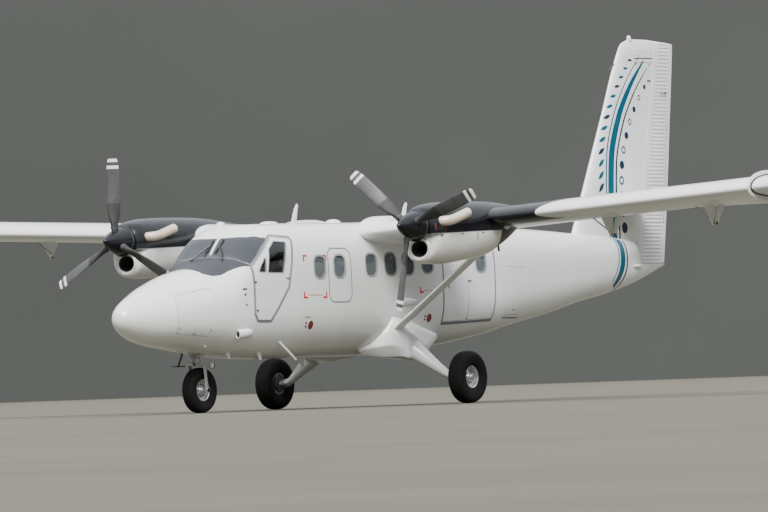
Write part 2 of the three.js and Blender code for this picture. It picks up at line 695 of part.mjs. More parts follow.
// The space inside it, in the same columns.
const FIN_HOLLOW = [
  [2700, 12572, 15365, 240 - 2 * TAIL_SKIN],
  [3550, 13017, 15520, 205 - 2 * TAIL_SKIN],
  [4660, 13592, 15665, 160 - 2 * TAIL_SKIN],
  [5740, 14187, 15812, 120 - 2 * TAIL_SKIN],
];
// Part of the chord, half thickness as part of the full thickness
const FIN_SECTION = [[0, 0], [0.03, 0.3], [0.1, 0.44], [0.28, 0.5], [0.6, 0.4], [0.85, 0.22], [1, 0.03]];

function finRing([z, leading, trailing, thickness]) {
  const point = (part, half) => new THREE.Vector3(half * thickness, leading + part * (trailing - leading), z);
  const left = FIN_SECTION.map(([part, half]) => point(part, half));
  const right = FIN_SECTION.slice(1).reverse().map(([part, half]) => point(part, -half));
  return [...left, ...right];
}

function rudderHinge(z) {
  return RUDDER_FOOT.station + (z - RUDDER_FOOT.z) * RUDDER_LEAN;
}

// The rudder's round nose: height, radius
const RUDDER_NOSE = [
  [RUDDER_FOOT.z - 60, RUDDER_NOSE_RADIUS], [3600, 74], [4700, 60], [FIN_TOP_Z - 20, 42],
];

function rudderNose(grow) {
  const last = RUDDER_NOSE.length - 1;
  const points = RUDDER_NOSE.map(([z, radius], k) => {
    const far = z + (k === 0 ? -4 : 0) * grow + (k === last ? 4 : 0) * grow;
    return { x: 0, s: rudderHinge(far), z: far, wide: radius + grow, deep: radius + grow };
  });
  return bar(points, 14, ALONG_X);
}

// Tailplane sections: x, thickness, leading station. The right half mirrors them.
const TAILPLANE = [
  [TAILPLANE_SPAN / 2 - 80, 150, TAILPLANE_LEADING],
  [TAILPLANE_SPAN / 2, 90, TAILPLANE_LEADING + 40],
];
const TAILPLANE_HOLLOW = [[TAILPLANE_SPAN / 2 - 90, 150 - 2 * TAIL_SKIN, TAILPLANE_LEADING + 3 * TAIL_SKIN]];

function tailplaneRing([x, thickness, leading]) {
  const point = (part, half) => new THREE.Vector3(x,
    leading + part * (TAILPLANE_LEADING + TAILPLANE_CHORD - leading), TAILPLANE_Z + half * thickness);
  const upper = FIN_SECTION.map(([part, half]) => point(part, half));
  const lower = FIN_SECTION.slice(1).reverse().map(([part, half]) => point(part, -half));
  return [...upper, ...lower];
}

function tailplaneLoft(rows) {
  const right = rows.map(([x, thickness, leading]) => [-x, thickness, leading]).reverse();
  return loft([...right, ...rows].map(tailplaneRing));
}

const ELEVATOR_ROOT = 180;    // x of the elevators' inner ends
const HINGE_SETBACK = 24;     // the fixed surface's rear face, ahead of the moving one's hinge line
// The elevators stop short of the rudder, further aft the more, so that both can swing: x, station.
const RUDDER_ROOM = [[-170, 14260], [170, 14260], [760, 15160], [-760, 15160]];

function buildTail() {
  const wholeFin = loft(FIN.map(finRing));
  const wholeTailplane = tailplaneLoft(TAILPLANE);
  // Both hollows run out through the rear face, where the moving surface's nose sits.
  const finHollow = loft(FIN_HOLLOW.map(finRing));
  const tailplaneHollow = tailplaneLoft(TAILPLANE_HOLLOW);
  const tailplaneClear = [[0, FIT], [0, -FIT], [-FIT, 0], [FIT, 0]]
    .map(([s, z]) => wholeTailplane.translate([0, s, z])).reduce((all, one) => all.add(one));

  // In side view, everything ahead of a line that leans with the rudder hinge.
  const ahead = (shift) => sidePrism([
    [0, 1000], [rudderHinge(1000) + shift, 1000], [rudderHinge(7000) + shift, 7000], [0, 7000],
  ], -2000, 2000);
  const fin = wholeFin.intersect(ahead(0)).subtract(rudderNose(NOSE_GAP))
    .subtract(skinClear.subtract(box(-FAR, FAR, TAIL_STEP.station + FIT, FAR, TAIL_STEP.z + FIT, FAR)))
    .subtract(tailplaneClear)
    .subtract(finHollow)
    .intersect(ahead(-HINGE_SETBACK));
  addNode('fin', fin, WHITE);

  const nose = (x0, x1, grow) => cylinderX(x0, x1, ELEVATOR_HINGE, TAILPLANE_Z, ELEVATOR_RADIUS + grow, 14);
  const halfSpan = TAILPLANE_SPAN / 2;
  const tailplane = wholeTailplane.intersect(box(-FAR, FAR, 0, ELEVATOR_HINGE - HINGE_SETBACK, 0, FAR))
    .subtract(nose(-FAR, FAR, NOSE_GAP)).subtract(rudderNose(NOSE_GAP))
    .subtract(tailplaneHollow);
  addNode('tailplane', tailplane, WHITE);
  const rudderRoom = planPrism(RUDDER_ROOM, TAILPLANE_Z - 1000, TAILPLANE_Z + 1000);
  const elevator = wholeTailplane.intersect(box(ELEVATOR_ROOT, halfSpan, ELEVATOR_HINGE, FAR, 0, FAR))
    .add(nose(ELEVATOR_ROOT, halfSpan - 60, 0)).subtract(rudderRoom);
  addNode('elevator_left', elevator, WHITE);
  addNode('elevator_right', mirrored(elevator), WHITE);

  const rudder = wholeFin.subtract(ahead(0)).add(rudderNose(0))
    .intersect(box(-FAR, FAR, 0, FAR, RUDDER_FOOT.z, FAR));
  addNode('rudder', rudder, WHITE);
}

// Landing gear
function tyreProfile({ radius, width, rim }) {
  const half = width / 2;
  const right = [
    [radius * 0.99, half * 0.45], [radius * 0.93, half * 0.84], [radius * 0.78, half],
    [rim + 45, half * 0.86], [rim, half * 0.62],
  ];
  const left = right.map(([r, along]) => [r, -along]).reverse();
  return [...left, [radius, 0], ...right];
}

// A solid of revolution about X from [radius, x] points that close on themselves or on the axis.
function turnedX(profile, x, s, z, segments) {
  const points = [...profile, profile[0]].map(([radius, along]) => new THREE.Vector2(radius, along));
  const geometry = turnedRight(new THREE.LatheGeometry(points, segments));
  geometry.rotateZ(-Math.PI / 2);
  geometry.translate(x, s, z);
  return solidFrom(geometry);
}

const AXLE_RADIUS = 30;
const AXLE_PLAY = 1;
const HUB_WALL = 32;
const WEB = { inner: -30, outer: 24 };  // faces of the rim's web
const RIM_WALL = 26;

function rimProfile({ width, rim }) {
  const half = width / 2;
  const bore = AXLE_RADIUS + AXLE_PLAY;
  const hub = bore + HUB_WALL;
  const well = rim - RIM_WALL - 8;
  return [
    [bore, -half * 0.45], [hub, -half * 0.45], [hub, WEB.inner], [well, WEB.inner],
    [rim - RIM_WALL, -half * 0.6], [rim - FIT, -half * 0.6], [rim - FIT, half * 0.6],
    [rim - RIM_WALL, half * 0.6], [well, WEB.outer], [hub, WEB.outer], [hub, half * 0.5], [bore, half * 0.5],
  ];
}

const MAIN_LEG = [
  { x: 860, s: 6440, z: 850, wide: 150, deep: 108 },
  { x: 1080, s: 6470, z: 715, wide: 120, deep: 86 },
  { x: 1300, s: 6498, z: 580, wide: 90, deep: 68 },
  { x: 1500, s: 6522, z: 460, wide: 74, deep: 56 },
  { x: 1650, s: 6542, z: 410, wide: 64, deep: 50 },
];

// Fairing outlines in side view at three distances out, eight corners each.
const FAIRING = [
  [560, [
    [5400, 900], [5700, 1060], [5950, 1440], [6400, 1400], [7560, 1110], [7150, 812], [6350, 735], [5600, 800],
  ]],
  [820, [
    [5780, 940], [5860, 1160], [5990, 1400], [6430, 1345], [7260, 1085], [6950, 815], [6390, 712], [5950, 765],
  ]],
  [980, [
    [6200, 860], [6170, 1010], [6130, 1190], [6380, 1130], [6720, 930], [6710, 812], [6400, 706], [6220, 735],
  ]],
];

// Nose leg: a barrel in the belly with a drag brace, and below it the steered fork.
const NOSE_LEG = { radius: 62, bottom: 770, top: 960, braceStation: 1760, braceRadius: 22 };
const FORK = {
  stem: 46,
  tube: 18,
  legX: NOSE_TYRE.width / 2 + 34,
  crownZ: NOSE_TYRE.radius + NOSE_AXLE.z + 22,
  crownHeight: 34,
};
// How far each axle runs past the main wheel's centre, inward and outward, or past a fork leg.
const AXLE_ENDS = { main: [-290, 76], nose: 34 };

const STRUT = {
  foot: { x: 930, s: 6060, z: 1225 },
  top: { x: 3130, s: 5890, z: 2700 },
  chord: 105,
  thickness: 36,
};

function buildGear() {
  const fairing = loft(FAIRING.map(([x, outline]) => outline.map(([s, z]) => new THREE.Vector3(x, s, z))))
    .subtract(skinClear);
  const fairingGrown = fairing.add(fairing.translate([FIT, 0, 0])).add(fairing.translate([0, 0, FIT]))
    .add(fairing.translate([0, 0, -FIT])).add(fairing.translate([0, FIT, 0]));
  const axle = cylinderX(MAIN_AXLE.x + AXLE_ENDS.main[0], MAIN_AXLE.x + AXLE_ENDS.main[1],
    MAIN_AXLE.station, MAIN_AXLE.z, AXLE_RADIUS, 16);
  const leg = bar(MAIN_LEG, 14, ALONG_S).add(axle).subtract(fairingGrown).subtract(skinClear);
  const tyre = turnedX(tyreProfile(MAIN_TYRE), MAIN_AXLE.x, MAIN_AXLE.station, MAIN_AXLE.z, 22);
  const rim = turnedX(rimProfile(MAIN_TYRE), MAIN_AXLE.x, MAIN_AXLE.station, MAIN_AXLE.z, 22);
  for (const [side, place] of [['left', (solid) => solid], ['right', mirrored]]) {
    addNode(`gear_fairing_${side}`, place(fairing), WHITE);
    addNode(`main_leg_${side}`, place(leg), WHITE);
    addNode(`main_tyre_${side}`, place(tyre), RUBBER, 0.9);
    addNode(`main_rim_${side}`, place(rim), METAL, 0.35, 0.9);
  }

  const { radius, bottom, top, braceStation, braceRadius } = NOSE_LEG;
  const noseLeg = cylinderZ(0, STEER_STATION, bottom, top, radius)
    .add(bar([{ x: 0, s: STEER_STATION - 40, z: bottom + 20, wide: braceRadius, deep: braceRadius },
      { x: 0, s: braceStation, z: top, wide: braceRadius, deep: braceRadius }], 8, ALONG_X));
  addNode('nose_leg', noseLeg.subtract(skinClear), METAL, 0.4, 0.7);

  const { stem, tube, legX, crownZ, crownHeight } = FORK;
  let fork = cylinderZ(0, STEER_STATION, crownZ, bottom - 2, stem)
    .add(box(-legX - tube, legX + tube, STEER_STATION - stem, STEER_STATION + stem + tube,
      crownZ, crownZ + crownHeight))
    .add(cylinderX(-legX - AXLE_ENDS.nose, legX + AXLE_ENDS.nose, NOSE_AXLE.station, NOSE_AXLE.z,
      AXLE_RADIUS, 16));
  for (const sign of [-1, 1]) {
    fork = fork.add(bar([
      { x: sign * legX, s: NOSE_AXLE.station, z: NOSE_AXLE.z - 40, wide: tube - 2, deep: 2 * tube },
      { x: sign * legX, s: STEER_STATION + 10, z: crownZ + 30, wide: tube, deep: stem - 2 },
    ], 10, ALONG_X));
  }
  addNode('nose_fork', fork, METAL, 0.4, 0.7);
  const noseWheel = (profile) => turnedX(profile, 0, NOSE_AXLE.station, NOSE_AXLE.z, 22);
  addNode('nose_tyre', noseWheel(tyreProfile(NOSE_TYRE)), RUBBER, 0.9);
  addNode('nose_rim', noseWheel(rimProfile(NOSE_TYRE)), METAL, 0.35, 0.9);
  return fairingGrown;
}

function buildStruts(fairingGrown, wingAndNacelle) {
  const { foot, top, chord, thickness } = STRUT;
  const at = (part, size) => ({
    x: foot.x + (top.x - foot.x) * part,
    s: foot.s + (top.s - foot.s) * part,
    z: foot.z + (top.z - foot.z) * part,
    wide: chord * size,
    deep: thickness * size,
  });
  const strut = bar([at(-0.05, 0.8), at(0.02, 1), at(0.96, 1), at(1, 0.8)], 12, ALONG_S);
  const lift = FIT;
  const clear = wingAndNacelle.add(wingAndNacelle.translate([0, 0, -lift]))
    .add(wingAndNacelle.translate([lift, 0, 0])).add(wingAndNacelle.translate([-lift, 0, 0]));
  const cut = strut.subtract(fairingGrown).subtract(skinClear).subtract(clear);
  addNode('strut_left', cut, WHITE);
  addNode('strut_right', mirrored(largestBody(cut)), WHITE);
}

// Cockpit and cabin fittings that show through the glass and the open doors
// A seat in side view, as [aft of its front edge, above the floor].
const SEAT_SIDE = [[0, 240], [0, 370], [330, 380], [450, 920], [560, 920], [470, 240]];
const SEAT_LEG = { front: 120, rear: 380, top: 260 };
const CREW_SEAT = { x: 395, station: 3120, width: 440 };
const SEAT_ROWS = { first: 3950, pitch: 760, railWidth: 120, railHeight: 40, length: 560 };
const PASSENGER_SEATS = [
  { name: 'passenger_seats_left', x: 530, width: 430, rows: 4 },
  { name: 'passenger_seats_right', x: -340, width: 820, rows: 5 },
];
// Boxes that overlap each other: x from, x to, station from, to, height above the floor from, to.
const PANEL_BOXES = [[-600, 600, 2560, 2680, 480, 900], [-120, 120, 2570, 2940, 0, 520]];
const COLUMN_BOXES = [
  [-60, 60, 2952, 3010, 0, 60], [-28, 28, 2960, 3000, 40, 640], [-420, 420, 2965, 2995, 600, 640],
  [-440, -400, 2950, 3000, 560, 740], [400, 440, 2950, 3000, 560, 740],
];

function seat(x, station, width, rail) {
  const floor = FLOOR_Z + rail;
  const outline = SEAT_SIDE.map(([s, z]) => [station + s, floor + z]);
  const leg = box(x - width * 0.3, x + width * 0.3, station + SEAT_LEG.front, station + SEAT_LEG.rear,
    floor, floor + SEAT_LEG.top);
  return sidePrism(outline, x - width / 2, x + width / 2).add(leg);
}

function joinedBoxes(rows, base) {
  return rows.map(([x0, x1, s0, s1, z0, z1]) => box(x0, x1, s0, s1, base + z0, base + z1))
    .reduce((all, one) => all.add(one));
}

function buildCabinFittings() {
  const base = FLOOR_Z + FIT;
  addNode('instrument_panel', joinedBoxes(PANEL_BOXES, base), DARK_GREY, 0.8);
  addNode('control_column', joinedBoxes(COLUMN_BOXES, base), DARK_GREY, 0.6);
  const crewSeat = seat(CREW_SEAT.x, CREW_SEAT.station, CREW_SEAT.width, FIT);
  addNode('crew_seat_left', crewSeat, DARK_GREY, 0.9);
  addNode('crew_seat_right', mirrored(crewSeat), DARK_GREY, 0.9);

  const { first, pitch, railWidth, railHeight, length } = SEAT_ROWS;
  for (const { name, x, width, rows } of PASSENGER_SEATS) {
    let seats = box(x - railWidth / 2, x + railWidth / 2, first, first + pitch * (rows - 1) + length,
      base, base + railHeight);
    for (let row = 0; row < rows; row += 1) {
      seats = seats.add(seat(x, first + row * pitch, width, railHeight));
    }
    addNode(name, seats, SEAT_BLUE, 0.95);
  }
}

buildFuselage();
const nacelleSkin = buildNacelles();
const wingAndNacelle = buildWings(nacelleSkin);
buildTail();
const fairingGrown = buildGear();
buildStruts(fairingGrown, wingAndNacelle);
buildCabinFittings();

export default aircraft;
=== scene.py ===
# Looks of a twin turboprop high-wing airliner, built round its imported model.
# Tables are in millimetres: x to the aircraft's left, station aft of the datum, z up from the ground.
import math

import bmesh
import bpy
import numpy as np
from mathutils import Matrix, Vector


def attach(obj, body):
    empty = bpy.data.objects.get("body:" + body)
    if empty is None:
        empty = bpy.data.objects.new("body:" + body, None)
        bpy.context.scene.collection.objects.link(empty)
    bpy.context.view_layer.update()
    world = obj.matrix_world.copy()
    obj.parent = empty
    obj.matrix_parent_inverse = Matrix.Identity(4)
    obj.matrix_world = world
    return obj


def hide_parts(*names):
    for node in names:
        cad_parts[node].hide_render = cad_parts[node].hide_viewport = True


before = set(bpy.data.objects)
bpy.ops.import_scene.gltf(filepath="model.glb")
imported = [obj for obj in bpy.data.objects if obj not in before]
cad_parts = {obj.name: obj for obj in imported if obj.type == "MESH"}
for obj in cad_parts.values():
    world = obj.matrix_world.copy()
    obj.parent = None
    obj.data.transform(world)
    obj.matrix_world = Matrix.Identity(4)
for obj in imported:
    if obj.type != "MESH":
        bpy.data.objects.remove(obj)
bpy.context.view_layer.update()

MM = 0.001
DATUM = 7945.0                # station of the frame's origin
SIDES = {"left": 1, "right": -1}

# Camera, fitted to the photo
CAMERA_PLACE = Vector((54.368, -78.852, 0.321))
CAMERA_AZIMUTH = 34.893
CAMERA_ELEVATION = -1.234
CAMERA_ROLL = -2.012
FOCAL_PIXELS = 6011.5
PHOTO_WIDTH = 768
SENSOR_MM = 36.0
CLIP_METRES = (1.0, 6000.0)


def build_camera():
    azimuth, elevation, roll = (
        math.radians(v) for v in (CAMERA_AZIMUTH, CAMERA_ELEVATION, CAMERA_ROLL))
    back = Vector((math.sin(azimuth) * math.cos(elevation),
                   -math.cos(azimuth) * math.cos(elevation), math.sin(elevation)))
    level = Vector((math.cos(azimuth), math.sin(azimuth), 0))
    above = back.cross(level)
    right = level * math.cos(roll) + above * math.sin(roll)
    up = above * math.cos(roll) - level * math.sin(roll)
    data = bpy.data.cameras.new("camera")
    data.sensor_width = SENSOR_MM
    data.lens = FOCAL_PIXELS * SENSOR_MM / PHOTO_WIDTH
    data.clip_start, data.clip_end = CLIP_METRES
    camera = bpy.data.objects.new("camera", data)
    camera.matrix_world = Matrix.Translation(CAMERA_PLACE) @ Matrix((right, up, back)).transposed().to_4x4()
    bpy.context.scene.collection.objects.link(camera)
    bpy.context.scene.camera = camera


# Meshes
def metres(points):
    places = np.asarray(points, float) * MM
    places[:, 1] -= DATUM * MM
    return places


def make(name, points, faces):
    mesh = bpy.data.meshes.new(name)
    mesh.from_pydata(metres(points).tolist(), [], faces)
    obj = bpy.data.objects.new(name, mesh)
    bpy.context.scene.collection.objects.link(obj)
    face_outward(mesh)
    return obj


def face_outward(mesh):
    work = bmesh.new()
    work.from_mesh(mesh)
    bmesh.ops.recalc_face_normals(work, faces=work.faces)
    work.to_mesh(mesh)
    work.free()


def loft(name, rings, closed=False):
    """A closed skin over rings of equal point counts; a closed one joins its last ring to its first."""
    rings = np.asarray(rings, float)
    rows, count = rings.shape[:2]
    faces = []
    for row in range(rows if closed else rows - 1):
        low, high = row * count, (row + 1) % rows * count
        for i in range(count):
            j = (i + 1) % count
            faces.append((low + i, low + j, high + j, high + i))
    if not closed:
        faces.append(tuple(range(count)))
        faces.append(tuple(range((rows - 1) * count, rows * count)))
    return make(name, rings.reshape(-1, 3), faces)


def cut(obj, tool, operation="DIFFERENCE", keep=False):
    modifier = obj.modifiers.new("cut", "BOOLEAN")
    modifier.operation = operation
    modifier.solver = "MANIFOLD"
    modifier.object = tool
    depsgraph = bpy.context.evaluated_depsgraph_get()
    mesh = bpy.data.meshes.new_from_object(obj.evaluated_get(depsgraph))
    obj.modifiers.clear()
    obj.data = mesh
    if not keep:
        bpy.data.objects.remove(tool)
    return obj


def join(obj, tool):
    return cut(obj, tool, "UNION")


def common(obj, tool):
    return cut(obj, tool, "INTERSECT")


def gathered(name, objects):
    """One object of several, each left whole."""
    work = bmesh.new()
    for obj in objects:
        work.from_mesh(obj.data)
    mesh = bpy.data.meshes.new(name)
    work.to_mesh(mesh)
    work.free()
    for obj in objects:
        bpy.data.objects.remove(obj)
    result = bpy.data.objects.new(name, mesh)
    bpy.context.scene.collection.objects.link(result)
    return result


def copy_of(obj, name):
    twin = obj.copy()
    twin.data = obj.data.copy()
    twin.name = name
    bpy.context.scene.collection.objects.link(twin)
    return twin


def mirror_of(obj, name):
    twin = copy_of(obj, name)
    twin.parent = None
    twin.matrix_world = Matrix.Identity(4)
    twin.data.transform(Matrix.Scale(-1, 4, (1, 0, 0)))
    twin.data.flip_normals()
    return twin


def dress(obj, material, body="airframe", replaces=(), angle=32):
    """Gives a piece its material, its shading, and the body that it rides on."""
    obj.data.materials.clear()
    obj.data.materials.append(material)
    obj.data.shade_smooth()
    obj.data.set_sharp_from_angle(angle=math.radians(angle))
    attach(obj, body)
    if replaces:
        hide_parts(*replaces)
    return obj


def pair(obj, material, body="airframe", replaces=(), angle=32):
    """Dresses a piece of the left side and its mirrored twin."""
    twin = mirror_of(obj, obj.name.replace("left", "right"))
    dress(obj, material, body, replaces, angle)
    dress(twin, material, body.replace("left", "right"),
          tuple(name.replace("left", "right") for name in replaces), angle)


# Outlines
def shrunk(outline, amount):
    """Pushes each edge of an outline towards its middle by the same amount."""
    points = np.asarray(outline, float)
    after = np.roll(points, -1, axis=0)
    side = math.copysign(1, np.sum(points[:, 0] * after[:, 1] - after[:, 0] * points[:, 1]))
    along = after - points
    along /= np.linalg.norm(along, axis=1)[:, None]
    starts = points + side * amount * np.stack((-along[:, 1], along[:, 0]), axis=1)
    result = []
    for i in range(len(points)):
        p, d, q, e = starts[i - 1], along[i - 1], starts[i], along[i]
        turn = d[0] * e[1] - d[1] * e[0]
        if abs(turn) < 1e-6:
            result.append(q)
            continue
        t = ((q[0] - p[0]) * e[1] - (q[1] - p[1]) * e[0]) / turn
        result.append(p + d * t)
    return np.array(result)


def rounded(outline, radius, steps=6):
    """Turns each corner into an arc of the same number of steps."""
    points = np.asarray(outline, float)
    result = []
    for i, corner in enumerate(points):
        a = points[i - 1] - corner
        b = points[(i + 1) % len(points)] - corner
        la, lb = np.linalg.norm(a), np.linalg.norm(b)
        a, b = a / la, b / lb
        half = math.acos(max(-1, min(1, float(a @ b)))) / 2
        reach = min(radius / math.tan(half), 0.48 * la, 0.48 * lb)
        size = reach * math.tan(half)
        centre = corner + (a + b) / np.linalg.norm(a + b) * size / math.sin(half)
        start, end = corner + a * reach - centre, corner + b * reach - centre
        angle = math.atan2(start[1], start[0])
        turn = (math.atan2(end[1], end[0]) - angle + math.pi) % (2 * math.pi) - math.pi
        for k in range(steps + 1):
            here = angle + turn * k / steps
            result.append(centre + size * np.array((math.cos(here), math.sin(here))))
    return np.array(result)


def frame_outline(s, z, width, height):
    """A rectangle about its centre, in side view."""
    w, h = width / 2, height / 2
    return [(s - w, z - h), (s + w, z - h), (s + w, z + h), (s - w, z + h)]


def soft_frame(s, z, width, height, radius):
    return rounded(frame_outline(s, z, width, height), radius)


def strip(s0, s1, z, height):
    return frame_outline((s0 + s1) / 2, z, s1 - s0, height)


def disc(s, z, radius, sides=28):
    angles = np.linspace(0, 2 * math.pi, sides, endpoint=False)
    return np.stack((s + radius * np.cos(angles), z + radius * np.sin(angles)), axis=1)


def band(points, width, steps=30):
    """The outline of a strip along a smooth line; width is a number or one value for each point."""
    points = np.asarray(points, float)
    run = run_of(points)
    widths = np.broadcast_to(np.asarray(width, float), len(points))
    line = even_line(points, steps)
    half = smooth(run, widths, np.linspace(0, run[-1], steps))[:, None] / 2
    across = across_line(line) * half
    return np.concatenate((line + across, (line - across)[::-1]))


def side_prism(outline, x0, x1):
    return loft("tool", [[(x, s, z) for s, z in outline] for x in (x0, x1)])


def plan_prism(outline, z0, z1):
    return loft("tool", [[(x, s, z) for x, s in outline] for z in (z0, z1)])


def block(x0, x1, s0, s1, z0, z1):
    return plan_prism([(x0, s0), (x1, s0), (x1, s1), (x0, s1)], z0, z1)


def soft_block(x0, x1, s0, s1, z0, z1, radius, name="tool"):
    """A block with rounded edges."""
    levels = []
    for k in range(7):
        angle = math.pi / 2 * k / 6
        inset, rise = radius * (1 - math.sin(angle)), radius * (1 - math.cos(angle))
        levels.append((inset, z0 + rise))
    levels += [(inset, z1 - (z - z0)) for inset, z in levels[::-1]]
    corners = [(x0, s0), (x1, s0), (x1, s1), (x0, s1)]
    rings = [[(x, s, z) for x, s in rounded(shrunk(corners, inset), radius, 5)] for inset, z in levels]
    return loft(name, rings)


def tube(name, points, wide, deep=None, sides=16, axis=(1, 0, 0)):
    """A round or oval bar through points; wide and deep are numbers or one value for each point."""
    points = np.asarray(points, float)
    count = len(points)
    wides = np.broadcast_to(np.asarray(wide, float), count)
    deeps = wides if deep is None else np.broadcast_to(np.asarray(deep, float), count)
    angles = np.linspace(0, 2 * math.pi, sides, endpoint=False)
    rings = []
    for k, here in enumerate(points):
        along = points[min(k + 1, count - 1)] - points[max(k - 1, 0)]
        along /= np.linalg.norm(along)
        across = np.asarray(axis, float)
        across = across - along * (across @ along)
        across /= np.linalg.norm(across)
        other = np.cross(along, across)
        rings.append(here + wides[k] * np.cos(angles)[:, None] * across
                     + deeps[k] * np.sin(angles)[:, None] * other)
    return loft(name, rings)


def pod(name, centre, half_x, half_s, half_z, sides=20, steps=12):
    """A streamlined bulge."""
    t = -np.cos(np.linspace(0.12, math.pi - 0.12, steps))
    x, s, z = centre
    scale = np.sqrt(1 - t * t)
    return tube(name, [(x, s + half_s * v, z) for v in t], half_x * scale, half_z * scale, sides)


def hoop(name, centre, wide, high, radius, sides=12, steps=56):
    """A ring about a mouth that faces along the stations."""
    around = np.linspace(0, 2 * math.pi, steps, endpoint=False)
    angles = np.linspace(0, 2 * math.pi, sides, endpoint=False)
    x, s, z = centre
    rings = []
    for a in around:
        out = radius * np.cos(angles)
        rings.append(np.stack((x + (wide + out) * math.cos(a), s + radius * np.sin(angles),
                               z + (high + out) * math.sin(a)), axis=1))
    return loft(name, rings, closed=True)


def turned(name, profile, centre, axis="x", segments=48):
    """A solid of revolution from a closed profile of (radius, distance along the axis)."""
    profile = np.asarray(profile, float)
    angles = np.linspace(0, 2 * math.pi, segments, endpoint=False)
    rings = []
    for angle in angles:
        c, s = math.cos(angle), math.sin(angle)
        r, d = profile[:, 0], profile[:, 1]
        columns = {"x": (d, r * c, r * s), "s": (r * c, d, r * s), "z": (r * c, r * s, d)}[axis]
        rings.append(np.stack(columns, axis=1) + np.asarray(centre, float))
    obj = loft(name, rings, closed=True)
    work = bmesh.new()
    work.from_mesh(obj.data)
    bmesh.ops.remove_doubles(work, verts=work.verts, dist=1e-5)
    bmesh.ops.dissolve_degenerate(work, edges=work.edges, dist=1e-6)
    bmesh.ops.recalc_face_normals(work, faces=work.faces)
    work.to_mesh(obj.data)
    work.free()
    return obj


# Smooth interpolation between the rows of a table
def smooth(keys, values, at):
    keys, values, at = (np.asarray(v, float) for v in (keys, values, at))
    steps = np.diff(keys)
    slopes = np.diff(values) / steps
    tangents = np.zeros(len(keys))
    for k in range(1, len(keys) - 1):
        before, after = slopes[k - 1], slopes[k]
        if before * after > 0:
            w, v = 2 * steps[k] + steps[k - 1], steps[k] + 2 * steps[k - 1]
            tangents[k] = (w + v) / (w / before + v / after)
    tangents[0], tangents[-1] = slopes[0], slopes[-1]
    row = np.clip(np.searchsorted(keys, at, side="right") - 1, 0, len(keys) - 2)
    t = (at - keys[row]) / steps[row]
    low, high = values[row], values[row + 1]
    t2, t3 = t * t, t * t * t
    return ((2 * t3 - 3 * t2 + 1) * low + (t3 - 2 * t2 + t) * steps[row] * tangents[row]
            + (3 * t2 - 2 * t3) * high + (t3 - t2) * steps[row] * tangents[row + 1])


def between_rows(table, at):
    """A table's other columns, read at values of its first one."""
    table = np.asarray(table, float)
    return [smooth(table[:, 0], column, at) for column in table.T[1:]]


def along_rows(rows, count):
    """A table's columns, read at even steps from its first row to its last."""
    rows = np.asarray(rows, float)
    at = np.linspace(0, len(rows) - 1, count)
    return [smooth(range(len(rows)), column, at) for column in rows.T]


def run_of(points):
    """The distance along a line at each of its points."""
    return np.concatenate(([0], np.cumsum(np.linalg.norm(np.diff(points, axis=0), axis=1))))


def even_line(points, count):
    """Evenly spaced points on a smooth line through a few."""
    points = np.asarray(points, float)
    run = run_of(points)
    even = np.linspace(0, run[-1], count)
    return np.stack([smooth(run, column, even) for column in points.T], axis=1)


def across_line(line):
    """The direction square to a line at each of its points."""
    along = np.gradient(line, axis=0)
    along /= np.linalg.norm(along, axis=1)[:, None]
    return np.stack((-along[:, 1], along[:, 0]), axis=1)


def ring_of(x, s, z):
    return np.stack(np.broadcast_arrays(x, s, z), axis=1)


def cosine_spaced(count):
    """Parts of a chord, closer together at both ends."""
    return (1 - np.cos(np.linspace(0, math.pi, count))) / 2


# Fuselage
# station, half width, top, bottom, height of the widest point, power above it, power below it
FUSELAGE = np.array([
    [55, 1, 1451, 1449, 1450, 2.0, 2.0],
    [60, 42, 1498, 1402, 1450, 2.0, 2.0],
    [80, 95, 1548, 1352, 1446, 2.0, 2.0],
    [145, 165, 1620, 1275, 1441, 2.0, 2.0],
    [270, 248, 1702, 1195, 1440, 2.0, 2.0],
    [480, 358, 1796, 1112, 1445, 2.0, 2.1],
    [940, 550, 1975, 1022, 1470, 2.0, 2.3],
    [1450, 668, 2120, 960, 1500, 2.1, 2.4],
    [1950, 752, 2215, 900, 1560, 2.2, 2.6],
    [2400, 812, 2350, 850, 1650, 4.2, 2.8],
    [2720, 832, 2680, 825, 1680, 4.2, 2.8],
    [2930, 845, 2795, 812, 1700, 4.2, 2.8],
    [3070, 852, 2845, 805, 1720, 4.1, 2.8],
    [3650, 872, 2865, 800, 1740, 4.0, 2.8],
    [5750, 875, 2885, 800, 1750, 4.0, 2.8],
    [7370, 875, 2915, 872, 1790, 3.9, 2.7],
    [9020, 850, 2870, 1038, 1850, 3.6, 2.6],
    [10290, 720, 2815, 1240, 1930, 3.2, 2.5],
    [11350, 590, 2775, 1390, 1990, 2.9, 2.4],
    [12440, 455, 2725, 1585, 2060, 2.6, 2.3],
    [13270, 355, 2690, 1705, 2110, 2.4, 2.2],
    [14150, 240, 2630, 1870, 2150, 2.2, 2.1],
    [14700, 160, 2520, 2015, 2200, 2.1, 2.0],
    [15270, 60, 2330, 2180, 2255, 2.0, 2.0],
])
NOSE_STATION = 55
TAIL_STATION = 15270
NOSE_TIP_LENGTH = 425         # rings lie closer together over this
KEY_START = 54.0              # rows are smooth in the root of the distance from here, for a round nose
CREASE = 2400                 # the windscreen's foot, where the top line kinks
CREASED_COLUMNS = (2, 5)
FINE_SIDES = 144
ROOM_SIDES = 72


def stations():
    nose = NOSE_STATION + np.linspace(0, math.sqrt(NOSE_TIP_LENGTH), 18) ** 2
    return np.unique(np.concatenate((
        nose, np.arange(520, 2400, 70), np.arange(2400, 3160, 40),
        np.arange(3200, 9020, 97), np.arange(9020, 15200, 110), [TAIL_STATION])))


STATIONS = stations()


